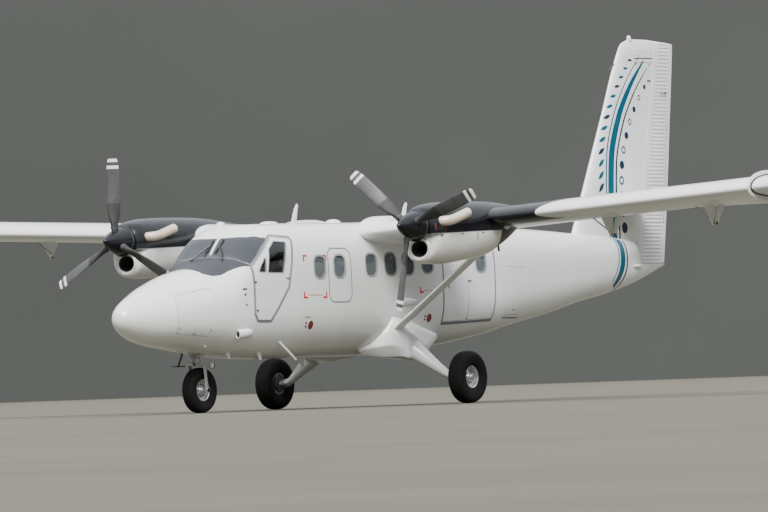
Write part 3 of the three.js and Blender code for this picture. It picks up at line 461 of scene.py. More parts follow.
def fuselage_rows(at):
    at = np.asarray(at, float)
    keys = np.sqrt(FUSELAGE[:, 0] - KEY_START)
    places = np.sqrt(at - KEY_START)
    kink = int(np.flatnonzero(FUSELAGE[:, 0] == CREASE)[0])
    columns = []
    for c in range(1, 7):
        values = FUSELAGE[:, c]
        if c in CREASED_COLUMNS:
            ahead = smooth(keys[:kink + 1], values[:kink + 1], places)
            behind = smooth(keys[kink:], values[kink:], places)
            columns.append(np.where(at <= CREASE, ahead, behind))
        else:
            columns.append(smooth(keys, values, places))
    return np.stack([at, *columns], axis=1)


def superellipse(half_width, top, bottom, middle, power_top, power_bottom, sides):
    """Points evenly spaced along each quarter of the section, as x and z."""
    quarter = sides // 4
    angle = np.linspace(0, math.pi / 2, 500)

    def corner(height, power):
        x = half_width * np.cos(angle) ** (2 / power)
        z = height * np.sin(angle) ** (2 / power)
        length = np.concatenate(([0], np.cumsum(np.hypot(np.diff(x), np.diff(z)))))
        even = np.linspace(0, length[-1], quarter + 1)
        return np.interp(even, length, x), np.interp(even, length, z)

    xu, zu = corner(top - middle, power_top)
    xl, zl = corner(middle - bottom, power_bottom)
    x = np.concatenate((xu[:-1], -xu[:0:-1], -xl[:-1], xl[:0:-1]))
    z = np.concatenate((zu[:-1], zu[:0:-1], -zl[:-1], -zl[:0:-1]))
    return x, z + middle


def skin_x(s, z):
    """How far out the fuselage's skin is at a station and height."""
    _, half_width, top, bottom, middle, upper, lower = fuselage_rows([s])[0]
    power, height = (upper, top - middle) if z > middle else (lower, middle - bottom)
    return half_width * (1 - min(1, abs((z - middle) / height)) ** power) ** (1 / power)


def skin_z(s, x, above=True):
    """The height of the fuselage's top or bottom at a station, so far from the middle."""
    _, half_width, top, bottom, middle, upper, lower = fuselage_rows([s])[0]
    power, height = (upper, top - middle) if above else (lower, bottom - middle)
    return middle + height * (1 - min(1, abs(x / half_width)) ** power) ** (1 / power)


def fuselage_rings(at, inset, sides):
    rings = []
    for s, half_width, top, bottom, middle, upper, lower in fuselage_rows(at):
        x, z = superellipse(half_width - inset, top - inset, bottom + inset, middle, upper, lower, sides)
        rings.append(ring_of(x, s, z))
    return rings


def fuselage_solid(s0, s1, inset=0.0, sides=FINE_SIDES, name="tool"):
    inside = STATIONS[(STATIONS > s0 + 1) & (STATIONS < s1 - 1)]
    return loft(name, fuselage_rings([s0, *inside, s1], inset, sides))


WALL_CUT = (500, 1000)        # from inside the cabin's wall to outside it
PATCH_CUT = (150, 1200)
PATCH_MARGIN = 30


def fuselage_shell(name, s0, s1, outer, inner, margin=5):
    """The skin between two insets, from one station to another."""
    return cut(fuselage_solid(s0, s1, outer, name=name), fuselage_solid(s0 - margin, s1 + margin, inner))


def through_wall(outline, side):
    return side_prism(outline, *(side * x for x in WALL_CUT))


def skin_patch(name, outline, side, inner, outer, hole=None, plan=None):
    """A closed piece of the skin between two depths: inner is below the surface, outer above it."""
    outline = np.asarray(outline, float)
    along = outline[:, 1 if plan else 0]
    start = max(along.min() - PATCH_MARGIN, NOSE_STATION + 1)
    patch = fuselage_shell(name, start, along.max() + PATCH_MARGIN, -outer, inner, 1)
    for shape, operation in ((outline, "INTERSECT"), (hole, "DIFFERENCE")):
        if shape is not None:
            tool = plan_prism(shape, *plan) if plan else side_prism(shape, *(side * x for x in PATCH_CUT))
            cut(patch, tool, operation)
    return patch


def applied(name, outline, material, outer=0.8, body="airframe", hole=None):
    """A thin piece on the left side's skin and its twin on the right."""
    pair(skin_patch(name, outline, 1, 2, outer, hole=hole), material, body)


# Doors: corners in side view, how far out their skin is, their side, and how much their edges slope in
DOORS = {
    "crew": ([(2440, 2190), (2985, 2655), (3452, 2625), (3262, 1872), (2822, 1358), (2515, 1362),
              (2442, 1470)], 810, 1, 0.12),
    "front_leaf": ([(7420, 1285), (7420, 2500), (8120, 2500), (8120, 1307)], 870, 1, 0.12),
    "rear_leaf": ([(8120, 1307), (8120, 2500), (8890, 2500), (8890, 1332)], 860, 1, 0.12),
    "cabin_right": ([(8080, 1285), (8080, 2435), (8850, 2435), (8850, 1285)], 860, -1, 0.24),
    "nose": ([(860, 1165), (860, 1793), (1600, 1880), (1600, 1150)], 560, 1, 0.34),
    "aft": ([(9265, 1355), (9265, 2160), (9900, 2160), (9900, 1355)], 790, 1, 0.3),
}
CABIN_DOORWAY = [(7420, 1285), (7420, 2500), (8890, 2500), (8890, 1332)]
LEAF_JOINT = (700, 900, 8060, 8180, 1325, 2475)
CABIN_SILL = [(7400, 1246), (7400, 1283), (8910, 1330), (8910, 1293)]
AFT_SILL = [(9262, 1330), (9262, 1353), (9902, 1353), (9902, 1330)]
DOOR_REACH = (250, 1200)      # how far out a door's cut starts and ends
SEAL_DEPTHS = (3, 1.3)        # below and above the skin
DOOR_CORNER = 45
SWING_GAP = 7
WALL = 60
SHELL = 42
TAIL_SHELL = 30


def door_prism(door, gap=0.0, side=None):
    outline, skin_out, own_side, bevel = DOORS[door]
    side = side or own_side
    rings = []
    for x in DOOR_REACH:
        ring = rounded(shrunk(outline, gap + (skin_out - x) * bevel), DOOR_CORNER)
        rings.append([(side * x, s, z) for s, z in ring])
    return loft("tool", rings)


# Cabin windows: station and height of their middles
WINDOW_SIZE = (300, 350)
WINDOW_CORNER = 112
LEFT_WINDOWS = [(4080, 2170), (4600, 2180), (5450, 2200), (5970, 2210), (6450, 2220), (6980, 2240)]
CABIN_WINDOWS = {"left": LEFT_WINDOWS, "right": [*LEFT_WINDOWS, (7520, 2250)]}
LEAF_WINDOW = (8510, 2250)
RIGHT_DOOR_WINDOW = (8465, 2230)
DOOR_PANES = {"left": ("door_rear_leaf", "door_window_left", LEAF_WINDOW),
              "right": ("right_cabin_door", "door_window_right", RIGHT_DOOR_WINDOW)}
RAISED_BLINDS = ("left_0", "left_1")
BLIND_LIFT = 230              # middle of the part that is cut off
RAISED_LIFT = 270
EXIT_HATCH = frame_outline(4600, 2045, 620, 850)
CREW_WINDOWS = [
    [(2555, 2100), (2765, 2362), (2736, 2100)],
    [(2774, 2090), (2862, 2450), (3012, 2572), (3300, 2558), (3150, 2088)],
]
CREW_WINDOW_CORNER = 22
# How far panes, frames and blinds reach below and above the skin
PANE_DEPTHS = (16, -11)
PANE_FRAME_DEPTHS = (10, 2.5)
BLIND_DEPTHS = (40, -36)
CREW_PANE_DEPTHS = (15, -10)
CREW_FRAME_DEPTHS = (9, 2)
# The windscreen in plan: x, station
WINDSCREEN_PANE = [(24, 2402), (400, 2345), (620, 2365), (768, 2452), (728, 2928), (665, 2823), (499, 2706),
                   (246, 2676), (24, 2673)]
WINDSCREEN_SPAN = (2320, 2960)
PLAN_REACH = (2150, 3000)
DOOR_PILLAR = 8
# Hollows inside: front, rear, how thick the wall round them is
ROOMS = [(760, 1800, SHELL), (2300, 3761, SHELL), (3700, 8950, WALL), (9080, 14000, TAIL_SHELL)]
FLOOR_Z = 1250
INWARD = -0.3                 # faces below this share of the outward direction are lined
TAIL_STEP = (14240, 2218)


def window_outline(place, grow=0.0):
    width, height = WINDOW_SIZE
    return rounded(frame_outline(*place, width + 2 * grow, height + 2 * grow), WINDOW_CORNER + grow)


def windscreen_prism(fit, side):
    outline = rounded(shrunk(WINDSCREEN_PANE, fit), 14)
    prism = plan_prism([(side * x, s) for x, s in outline], *PLAN_REACH)
    beside = rounded(shrunk(DOORS["crew"][0], -DOOR_PILLAR - fit), DOOR_CORNER)
    return cut(prism, side_prism(beside, side * DOOR_REACH[0], side * DOOR_REACH[1]))


def line_inside(obj, lining):
    """Gives the faces that look inward the lining's material."""
    obj.data.materials.append(lining)
    faces = obj.data.polygons
    centres = np.array([face.center for face in faces])
    normals = np.array([face.normal for face in faces])
    rows = fuselage_rows(np.clip(centres[:, 1] / MM + DATUM, NOSE_STATION + 1, TAIL_STATION))
    out = np.stack((centres[:, 0], centres[:, 2] - rows[:, 4] * MM), axis=1)
    out /= np.linalg.norm(out, axis=1)[:, None] + 1e-9
    inward = (out * normals[:, [0, 2]]).sum(axis=1) < INWARD
    for k in np.flatnonzero(inward):
        faces[int(k)].material_index = 1


def build_fuselage(paint, lining, carpet):
    body = fuselage_solid(NOSE_STATION, TAIL_STATION, name="fuselage_skin")
    for s0, s1, wall in ROOMS:
        cut(body, fuselage_solid(s0, s1, wall, ROOM_SIDES))
    for door in DOORS:
        cut(body, door_prism(door))
    cut(body, door_prism("crew", side=-1))
    cut(body, block(*LEAF_JOINT))
    for word, side in SIDES.items():
        cut(body, windscreen_prism(0, side))
        for place in CABIN_WINDOWS[word]:
            cut(body, through_wall(window_outline(place), side))
    cut(body, block(-500, 500, TAIL_STEP[0], 16000, TAIL_STEP[1], 4000))
    dress(body, paint, replaces=(
        "nose_section", "cabin_belly", "cockpit_section", "cabin_roof", "cabin_wall_left",
        "cabin_wall_right", "tail_cone"))
    line_inside(body, lining)
    floor = fuselage_solid(2290, 9000, SHELL / 2, ROOM_SIDES, name="cabin_floor")
    dress(common(floor, block(-900, 900, 2000, 9100, 1200, FLOOR_Z)), carpet)


# Leaves: piece, door, side, wall, body, solid that it stands for
DOOR_LEAVES = [
    ("crew_door_left", "crew", 1, SHELL, "left_crew_door", "crew_door_left"),
    ("crew_door_right", "crew", -1, SHELL, "right_crew_door", "crew_door_right"),
    ("cabin_door_front", "front_leaf", 1, WALL, "door_front_leaf", "cabin_door_front_leaf"),
    ("cabin_door_rear", "rear_leaf", 1, WALL, "door_rear_leaf", "cabin_door_rear_leaf"),
    ("cabin_door_starboard", "cabin_right", -1, WALL, "right_cabin_door", "cabin_door_right"),
    ("nose_locker_door", "nose", 1, SHELL, "nose_door", "nose_baggage_door"),
    ("aft_locker_door", "aft", 1, TAIL_SHELL, "aft_door", "aft_baggage_door"),
]
DOOR_OPENINGS = {
    "crew": [rounded(shape, CREW_WINDOW_CORNER) for shape in CREW_WINDOWS],
    "rear_leaf": [window_outline(LEAF_WINDOW)],
    "cabin_right": [window_outline(RIGHT_DOOR_WINDOW)],
}
# Grips: station, height, length, height of the grip
DOOR_HANDLES = {
    "crew": (3244, 2007, 76, 18), "front_leaf": (7560, 1850, 16, 60), "rear_leaf": (8150, 1940, 90, 16),
    "cabin_right": (8200, 1850, 90, 18), "nose": (1230, 1200, 50, 14), "aft": (9580, 1470, 80, 16),
}


def build_doors(paint, lining, metal, dark):
    for name, door, side, wall, body, node_name in DOOR_LEAVES:
        outline = np.asarray(DOORS[door][0], float)
        leaf = fuselage_shell(name, outline[:, 0].min() - 40, outline[:, 0].max() + 40, 0.0, wall)
        common(leaf, door_prism(door, SWING_GAP, side))
        for shape in DOOR_OPENINGS.get(door, ()):
            cut(leaf, through_wall(shape, side))
        dress(leaf, paint, body, (node_name,))
        line_inside(leaf, lining)
        s, z, width, height = DOOR_HANDLES[door]
        dish = soft_frame(s, z, width + 14, height + 10, 12)
        dress(skin_patch(f"{name}_dish", dish, side, 3, 1), dark, body)
        grip = soft_frame(s, z, width, height, 10)
        dress(skin_patch(f"{name}_handle", grip, side, 2, 11), metal, body)


def build_seals(seal, faint):
    """Rubber seals and shadow lines round the doors: width on the fuselage, width on the leaf."""
    rows = [("crew_seal", "crew", "left", 26, 12, seal), ("crew_seal", "crew", "right", 26, 12, seal),
            ("nose_seal", "nose", "left", 5, 0, faint), ("aft_seal", "aft", "left", 6, 0, faint),
            ("cabin_right_seal", "cabin_right", "right", 24, 0, seal)]
    for name, door, word, outside, inside, material in rows:
        outline, side = DOORS[door][0], SIDES[word]
        door_ring(f"{name}_{word}", outline, side, outside, material)
        if inside:
            edge = rounded(shrunk(outline, SWING_GAP), DOOR_CORNER - 4)
            inner_edge = rounded(shrunk(outline, SWING_GAP + inside), DOOR_CORNER - 12)
            lip = skin_patch(f"{door}_lip_{word}", edge, side, *SEAL_DEPTHS, hole=inner_edge)
            dress(lip, material, f"{word}_crew_door")
    door_ring("cabin_door_seal", CABIN_DOORWAY, 1, 32, seal)
    dress(skin_patch("cabin_door_sill", CABIN_SILL, 1, 3, 6), seal)
    dress(skin_patch("aft_door_sill", AFT_SILL, 1, 3, 2), seal)


def door_ring(name, outline, side, width, material):
    edge = rounded(shrunk(outline, -width), DOOR_CORNER + width)
    ring = skin_patch(name, edge, side, *SEAL_DEPTHS, hole=rounded(outline, DOOR_CORNER))
    dress(ring, material)


def build_glass(glass, screen, clear, frame_paint, seal, blind):
    for word, side in SIDES.items():
        pane = fuselage_shell(f"windscreen_pane_{word}", *WINDSCREEN_SPAN, 2, 14)
        dress(common(pane, windscreen_prism(3, side)), screen, replaces=(f"windscreen_{word}",))
        ring = fuselage_shell(f"windscreen_seal_{word}", *WINDSCREEN_SPAN, -1.5, 4)
        common(ring, windscreen_prism(-4, side))
        dress(cut(ring, windscreen_prism(5, side)), seal)
        places = [("airframe", f"cabin_window_{word}_{k}", place)
                  for k, place in enumerate(CABIN_WINDOWS[word])]
        for body, name, place in [*places, DOOR_PANES[word]]:
            dress(skin_patch(name, window_outline(place, 6), side, *PANE_DEPTHS), glass, body)
            rim = skin_patch(name + "_frame", window_outline(place, 20), side, *PANE_FRAME_DEPTHS,
                             hole=window_outline(place, -11))
            dress(rim, frame_paint, body)
            build_blind(name, place, side, blind, body)
        for k, shape in enumerate(CREW_WINDOWS):
            name, body = f"crew_window_{word}_{k}", f"{word}_crew_door"
            edge = rounded(shrunk(shape, -6), CREW_WINDOW_CORNER + 6)
            dress(skin_patch(name, edge, side, *CREW_PANE_DEPTHS), clear, body)
            edge = rounded(shrunk(shape, -9), CREW_WINDOW_CORNER + 8)
            rim = skin_patch(name + "_frame", edge, side, *CREW_FRAME_DEPTHS,
                             hole=rounded(shrunk(shape, 6), CREW_WINDOW_CORNER - 5))
            dress(rim, frame_paint, body)
        hatch = skin_patch(f"exit_hatch_line_{word}", rounded(EXIT_HATCH, 150), side, 3, 1.2,
                           hole=rounded(shrunk(EXIT_HATCH, 20), 132))
        dress(hatch, seal)


def build_blind(name, place, side, material, body):
    """A blind behind the pane, cut off at the height that it is drawn to."""
    shade = skin_patch(name + "_blind", window_outline(place, 3), side, *BLIND_DEPTHS)
    lift = RAISED_LIFT if name.endswith(RAISED_BLINDS) else BLIND_LIFT
    cut(shade, through_wall(frame_outline(place[0], place[1] + lift, 500, 400), side))
    dress(shade, material, body)


# The dull panel ahead of the windscreen, in plan: x, station
GLARE_PANEL = [(0, 1747), (217, 1734), (368, 1730), (470, 1816), (567, 2096), (760, 2445)]
# Wipers: side, pivot, blade's lower end, blade's upper end, each as (x, station)
WIPERS = [("left", (359, 2248), (81, 2452), (119, 2634)), ("right", (249, 2264), (90, 2463), (74, 2628))]
RAM_TUBE = [(728, 2085, 1168), (736, 2190, 1176), (748, 2320, 1190), (744, 2400, 1198)]
# Plates beside the nose: station, height, length, height of the plate
NOSE_PORTS = [(2222, 1851, 90, 22), (2227, 1767, 34, 34), (2245, 1612, 30, 30)]
CREW_STEP = [(650, 3140, 1070), (695, 3190, 1032), (700, 3400, 890), (700, 3590, 763)]
LOCKER_CATCHES = [(921, 1279), (1540, 1240)]
CREW_HINGES = [(2477, 1953), (2499, 1522)]
# Belly masts: name, x, station, half chord, depth below the skin, half thickness
BELLY_MASTS = [("belly_fin", 385, 2275, 50, 85, 8), ("belly_blade", 491, 2925, 55, 105, 9),
               ("belly_mast", 0, 4700, 90, 150, 9)]


def over_skin(x, s, lift):
    return (x, s, skin_z(s, x) + lift)


def build_nose_details(dull, black, dark, white, metal, lamp):
    outline = [*GLARE_PANEL, *[(-x, s) for x, s in GLARE_PANEL[:0:-1]]]
    panel = skin_patch("glare_panel", outline, 1, 3, 1.0, plan=(1500, 2700))
    for side in (1, -1):
        cut(panel, windscreen_prism(-7, side))
    dress(cut(panel, block(-900, 900, 2452, 2600, 1500, 3000)), dull)
    for word, pivot, low, high in WIPERS:
        side = SIDES[word]
        hub, a, b = (over_skin(side * x, s, lift) for (x, s), lift in ((pivot, 14), (low, 16), (high, 16)))
        middle = [(p + q) / 2 for p, q in zip(a, b)]
        raised = [*middle[:2], middle[2] + 14]
        arm = tube(f"wiper_arm_{word}", [(hub[0], hub[1], hub[2] - 30), hub, raised], [20, 15, 9], sides=8,
                   axis=(0, 0.3, 1))
        blade = tube(f"wiper_blade_{word}", [a, middle, b], 15, 10, sides=8)
        dress(gathered(f"wiper_{word}", [arm, blade]), black)
    ram = tube("ram_air_tube_left", RAM_TUBE, [46, 50, 50, 34], [64, 68, 66, 46], 28)
    cut(ram, tube("tool", [(726, 2060, 1166), (733, 2150, 1173)], 37, 54, 28))
    pair(ram, white)
    # painted shade: a black plug inside the ram air tube's mouth stands for the shade in it
    pair(tube("ram_air_throat_left", [(729, 2098, 1169), (734, 2160, 1174)], 38, 55, 28), black)
    for k, (s, z, width, height) in enumerate(NOSE_PORTS):
        applied(f"nose_port_left_{k}", soft_frame(s, z, width, height, height * 0.45), dark, 7)
    dress(tube("crew_step_left", CREW_STEP, [22, 22, 22, 19], sides=14), white)
    rod = tube("crew_step_right", [(-550, 2410, 990), (-550, 2394, 937), (-550, 2262, 722)], 17, sides=12)
    tread = soft_block(-600, -500, 2160, 2390, 710, 728, 8)
    dress(gathered("crew_step_right", [rod, tread]), dark)
    for k, (s, z) in enumerate(LOCKER_CATCHES):
        dress(skin_patch(f"locker_catch_{k}", disc(s, z, 15), 1, 2, 3), metal, "nose_door")
    for k, (s, z) in enumerate(CREW_HINGES):
        applied(f"crew_hinge_left_{k}", soft_frame(s - 8, z, 46, 22, 8), dark, 12)
    for name, x, s, half, depth, thin in BELLY_MASTS:
        z = skin_z(s, x, False)
        mast = tube(name, [(x, s, z + 15), (x, s + 10, z - 10), (x, s + 45, z - depth)],
                    [half, half * 0.9, half * 0.45], [thin, thin, thin * 0.6], 20, (0, 1, 0))
        dress(mast, white)
    dress(pod("belly_beacon", (426, 1640, skin_z(1640, 426, False) - 4), 34, 40, 26), lamp)


# Roof masts: name, x, station, half chord, height above the skin, half thickness, how far the top leans aft
ROOF_MASTS = [
    ("roof_blade_front", 0, 4630, 68, 300, 12, 115), ("roof_blade_rear", 0, 7600, 68, 300, 12, 115),
    ("roof_rod", 480, 2912, 9, 62, 7, 6),
]
ROOF_DOMES = [("roof_dome", 0, 5690, 110, 150, 62), ("roof_puck", 0, 3980, 120, 180, 40),
              ("roof_box", -300, 3140, 62, 100, 66)]


def build_roof_details(white):
    for name, x, s, half, height, thin, lean in ROOF_MASTS:
        z = skin_z(s, x)
        points = [(x, s, z - 20), (x, s + lean * 0.05, z + 8), (x, s + lean * 0.6, z + height * 0.7),
                  (x, s + lean, z + height)]
        mast = tube(name, points, [half, half, half * 0.7, half * 0.42], [thin, thin, thin * 0.8, thin * 0.4],
                    24, (0, 1, 0))
        dress(mast, white)
    for name, x, s, half_x, half_s, half_z in ROOF_DOMES:
        dress(pod(name, (x, s, skin_z(s, x)), half_x, half_s, half_z, 28), white)


# Rescue marks: tag, corner, and the way that their arms point
CORNER_MARKS = [("a", 3625, 1690, 1, 1), ("b", 4235, 1690, -1, 1), ("c", 3650, 2360, 1, -1),
                ("d", 4262, 2360, -1, -1), ("e", 6745, 1752, 1, 1)]
SERVICE_POINTS = [(3830, 1286), (7025, 1358)]
SERVICE_RADIUS = 66


def corner_mark(s, z, ds, dz, arm=105, width=32):
    return [(s, z), (s + ds * arm, z), (s + ds * arm, z + dz * width), (s + ds * width, z + dz * width),
            (s + ds * width, z + dz * arm), (s, z + dz * arm)]


def build_marks(red, maroon, dark, grey, white):
    """Rescue marks and service points on the sides."""
    for tag, *place in CORNER_MARKS:
        applied(f"corner_mark_left_{tag}", corner_mark(*place), red)
    lines = [("line_mark_left", 3745, 4115, 1742)]
    lines += [(f"dash_mark_left_{k}", 6870 + 90 * k, 6915 + 90 * k, 1792) for k in range(5)]
    for name, s0, s1, z in lines:
        applied(name, strip(s0, s1, z, 12), red)
    for k, (s, z) in enumerate(SERVICE_POINTS):
        plate = disc(s, z, SERVICE_RADIUS, 36)
        applied(f"service_plate_left_{k}", plate, maroon, 3)
        applied(f"service_ring_left_{k}", disc(s, z, SERVICE_RADIUS + 6, 36), grey, 2, hole=plate)
        for j, dz in enumerate((30, -22)):
            applied(f"service_spot_left_{k}{j}", frame_outline(s - 118, z + dz, 46, 30), dark)
    applied("drain_line_left", [(3660, 1404), (3660, 1416), (3800, 1412), (3800, 1400)], dark, 3)
    pair(pod("air_outlet_bump_left", (skin_x(6370, 1615) - 8, 6370, 1615), 46, 320, 62, 28, 18), white)
    for z, s0, s1 in ((1902, 2661, 3091), (1731, 2651, 3081)):
        applied(f"door_line_left_{z}", strip(s0, s1, z, 8), grey, body="left_crew_door")


# Wing: part of the chord, upper and lower height in parts of the chord
WING_SECTION = np.array([
    [0, 0.0, 0.0], [0.0125, 0.026, -0.018], [0.05, 0.054, -0.034], [0.12, 0.079, -0.048],
    [0.25, 0.096, -0.060], [0.4, 0.098, -0.066], [0.6, 0.082, -0.062], [0.8, 0.05, -0.038],
    [1, 0.003, -0.003],
])
WING_PARTS = cosine_spaced(44)
WING_CHORD = 1980
WING_LEADING = 5350
WING_START = 300
WING_ROOT_Z = 2655
DIHEDRAL = math.tan(math.radians(3))
WING_REAR = 6730
WING_HINGE = 6820
HINGE_REACH = 78
HALF_SPAN = 9905
TIP_ROUND = 140
TIP_SWEEP = 0.14              # how much of the chord the round tip loses
TIP_THIN = 0.1                # how much of the thickness it keeps
STILL_PART = 0.42             # part of the chord that a scaled section keeps in place
END_GAP = 15
WING_SURFACES = [
    ("flap_inboard", 960, 2420, "left_flap_in"), ("flap_outboard", 3160, 6560, "left_flap_out"),
    ("aileron", 6590, 9620, "left_aileron"),
]
BRACKET_X = [1330, 2250, 4525, 6370]
BRACKET_LENGTH = 360
FLAP_PIVOT = (6680, 385)
ARM_TOP = (-30, 190)
PIVOT_BOLT = [(0, -24), (15, -24), (15, -15), (22, -15), (22, 64), (0, 64)]
# Root fairing: x, chord scale, thickness
ROOT_FAIRING = [(700, 1.05, 1.42), (860, 1.042, 1.34), (930, 1.02, 1.16), (1010, 1.006, 1.05),
                (1090, 0.99, 0.97)]
# End of the black leading edge: x, distance aft of the leading edge
BLACK_EDGE = [(3060, -60), (3060, 520), (4330, 330), (4230, 210), (4120, 110), (4045, 50), (4010, 15),
              (4000, -60)]


def chord_z(x):
    return WING_ROOT_Z + abs(x) * DIHEDRAL


def section_heights(parts):
    keys = np.sqrt(WING_SECTION[:, 0])
    places = np.sqrt(parts)
    return smooth(keys, WING_SECTION[:, 1], places), smooth(keys, WING_SECTION[:, 2], places)


def wing_ring(x, parts, chord_scale=1.0, thickness=1.0, grow=0.0):
    """Points over the top from the trailing edge to the leading one and back below."""
    middle = WING_LEADING + WING_CHORD * STILL_PART
    upper, lower = section_heights(parts)
    s = middle + (WING_LEADING + parts * WING_CHORD - middle) * chord_scale
    top, low = (np.stack((s, side * WING_CHORD * thickness), axis=1) for side in (upper, lower))
    ring = np.concatenate((top[::-1], low[1:]))
    ring = ring - grow * across_line(ring)
    return ring_of(float(x), ring[:, 0], ring[:, 1] + chord_z(x))


def wing_solid():
    rings = [wing_ring(x, WING_PARTS) for x in np.linspace(WING_START, HALF_SPAN - TIP_ROUND, 36)]
    for k in range(1, 9):
        angle = math.pi / 2 * k / 8
        x = HALF_SPAN - TIP_ROUND + TIP_ROUND * math.sin(angle)
        chord, thickness = 1 - TIP_SWEEP * (1 - math.cos(angle)), TIP_THIN + (1 - TIP_THIN) * math.cos(angle)
        rings.append(wing_ring(x, WING_PARTS, chord, thickness))
    return loft("tool", rings)


def wing_patch(name, x0, x1, outline, grow=1.3):
    """A thin cover on the wing within a plan outline of (x, station)."""
    at = np.linspace(x0, x1, 12)
    cover = loft(name, [wing_ring(x, WING_PARTS, grow=grow) for x in at])
    inside = loft("tool", [wing_ring(x, WING_PARTS, grow=-2) for x in (x0 - 5, *at[1:-1], x1 + 5)])
    return common(cut(cover, inside), plan_prism(outline, 2200, 4000))


def moving_surface(name, x0, x1):
    """A flap or aileron: the rear of the wing's section with a round nose."""
    start = (WING_HINGE - WING_LEADING) / WING_CHORD
    parts = start + (1 - start) * np.linspace(0, 1, 16) ** 0.8
    upper, lower = section_heights(parts)
    s = WING_LEADING + parts * WING_CHORD
    top, low = upper * WING_CHORD, lower * WING_CHORD
    angle = np.linspace(math.pi / 2, 3 * math.pi / 2, 18)[1:-1]
    middle, height = (top[0] + low[0]) / 2, (top[0] - low[0]) / 2
    rings = []
    for x in np.linspace(x0, x1, 24):
        z = chord_z(x)
        nose = [(x, WING_HINGE + HINGE_REACH * math.cos(a), z + middle + height * math.sin(a)) for a in angle]
        over = [(x, a, z + b) for a, b in zip(s[::-1], top[::-1])]
        under = [(x, a, z + b) for a, b in zip(s, low)]
        rings.append(over + nose + under)
    return loft(name, rings)


def hinge_plate(x, thickness, moving):
    z = chord_z(x)
    s, low = FLAP_PIVOT[0], z - FLAP_PIVOT[1]
    if moving:
        outline = [(WING_HINGE + ARM_TOP[0], z), (WING_HINGE + ARM_TOP[1], z), (s + 30, low - 30),
                   (s - 30, low - 15)]
    else:
        outline = [(WING_REAR - BRACKET_LENGTH, z - 60), (WING_REAR - 12, z - 60), (s + 30, low + 30),
                   (s + 15, low - 30), (s - 30, low - 15)]
    return side_prism(rounded(outline, 14, 4), x - thickness / 2, x + thickness / 2)


def build_wings(paint, skin, black, white, metal, red, green, lamp, rubber):
    whole = wing_solid()
    wing = cut(copy_of(whole, "wing_skin_left"), skin, keep=True)
    for _, x0, x1, _ in WING_SURFACES:
        cut(wing, block(x0, x1, WING_REAR, 8000, 2000, 4000))
    for x in BRACKET_X:
        join(wing, hinge_plate(x, 26, False))
    pair(wing, paint, replaces=("wing_left",))
    for name, x0, x1, body in WING_SURFACES:
        surface_piece = moving_surface(f"{name}_skin_left", x0 + END_GAP, x1 - END_GAP)
        for x in BRACKET_X:
            if name != "aileron" and x0 < x < x1:
                join(surface_piece, hinge_plate(x + 40, 22, True))
        pair(surface_piece, paint, body, (f"{name}_left",))
    rings = [wing_ring(x, WING_PARTS, *(column[0] for column in between_rows(ROOT_FAIRING, [x])))
             for x in np.linspace(ROOT_FAIRING[0][0], ROOT_FAIRING[-1][0], 12)]
    root = cut(loft("wing_root_fairing_left", rings), skin, keep=True)
    pair(cut(root, block(600, 1200, WING_REAR - 20, 8200, 2000, 4000)), white)
    build_wing_details(black, white, metal, red, green, lamp, rubber)
    return whole


def build_wing_details(black, white, metal, red, green, lamp, rubber):
    """The black leading edge, fence, lights, static wicks, flap rods and pivot bolts."""
    lead = WING_LEADING
    outline = [(x, lead + ds) for x, ds in BLACK_EDGE]
    pair(wing_patch("leading_edge_cover_left", 3060, 4340, outline), black)
    nose_parts = WING_PARTS[WING_PARTS < 0.34]
    # The black ring at the fence's outboard foot is partly a dark joint and partly painted shade where the
    # fence shades the wing's skin.
    for name, x, grow, half, material in (("wing_fence_left", 7850, 74, 7, white),
                                          ("wing_fence_edge_left", 7866, 15, 9, black)):
        ring = wing_ring(x, nose_parts, grow=grow)
        pair(loft(name, [ring_of(x + d, ring[:, 1], ring[:, 2]) for d in (-half, half)]), material)
    tip_x = HALF_SPAN - 60
    for word, side in SIDES.items():
        light = pod(f"tip_light_{word}", (side * tip_x, lead + 330, chord_z(tip_x) + 40), 60, 90, 44)
        dress(light, red if side > 0 else green)
    tail = lead + WING_CHORD
    for k, x in enumerate((7300, 8300, 9300)):
        points = [(x, tail - 12, chord_z(x)), (x, tail + 105, chord_z(x) - 8)]
        pair(tube(f"static_wick_left_{k}", points, [5, 3], sides=8), rubber, "left_aileron")
    for k, x in enumerate(BRACKET_X[2:]):
        points = [(x - 34, lead + 880, chord_z(x) - 128), (x - 34, FLAP_PIVOT[0] - 20, chord_z(x) - 318)]
        pair(tube(f"flap_rod_left_{k}", points, 11, sides=12), metal)
    for k, x in enumerate(BRACKET_X):
        centre = (x, FLAP_PIVOT[0], chord_z(x) - FLAP_PIVOT[1])
        pair(turned(f"flap_pivot_bolt_left_{k}", PIVOT_BOLT, centre, "x", 18), rubber)
    glass = [(8680, lead - 60), (8680, lead + 90), (8930, lead + 90), (8930, lead - 60)]
    pair(wing_patch("landing_light_left", 8650, 8960, glass, 1.5), lamp)


# Nacelle: station, half width, top, bottom, middle, power
ENGINE_X = 2790
THRUST_Z = 2717
LOWER_COWL = [(3800, 2585), (5745, 2648), (5745, 1000), (3800, 1000)]
NACELLE = np.array([
    [3925, 262, 2948, 2215, 2640, 2.2],
    [3990, 305, 2995, 2165, 2630, 2.3],
    [4130, 340, 3040, 2138, 2620, 2.4],
    [4400, 356, 3076, 2134, 2630, 2.4],
    [5060, 358, 3096, 2190, 2650, 2.4],
    [5560, 350, 3098, 2250, 2690, 2.3],
    [5950, 325, 3086, 2392, 2720, 2.2],
    [6400, 235, 3052, 2600, 2800, 2.1],
    [6890, 60, 3000, 2900, 2950, 2.0],
])
COWL_MOUTH = np.array([
    [3990, 212, 2556, 2180, 2367, 2.0],
    [4008, 252, 2700, 2160, 2410, 2.1],
    [4060, 300, 2880, 2148, 2490, 2.2],
    [4150, 335, 3010, 2140, 2580, 2.3],
])
COWL = np.concatenate((COWL_MOUTH, NACELLE[3:]))
NACELLE_SIDES = 72
NACELLE_REACH = (2000, 3600)  # x of the cuts across a nacelle
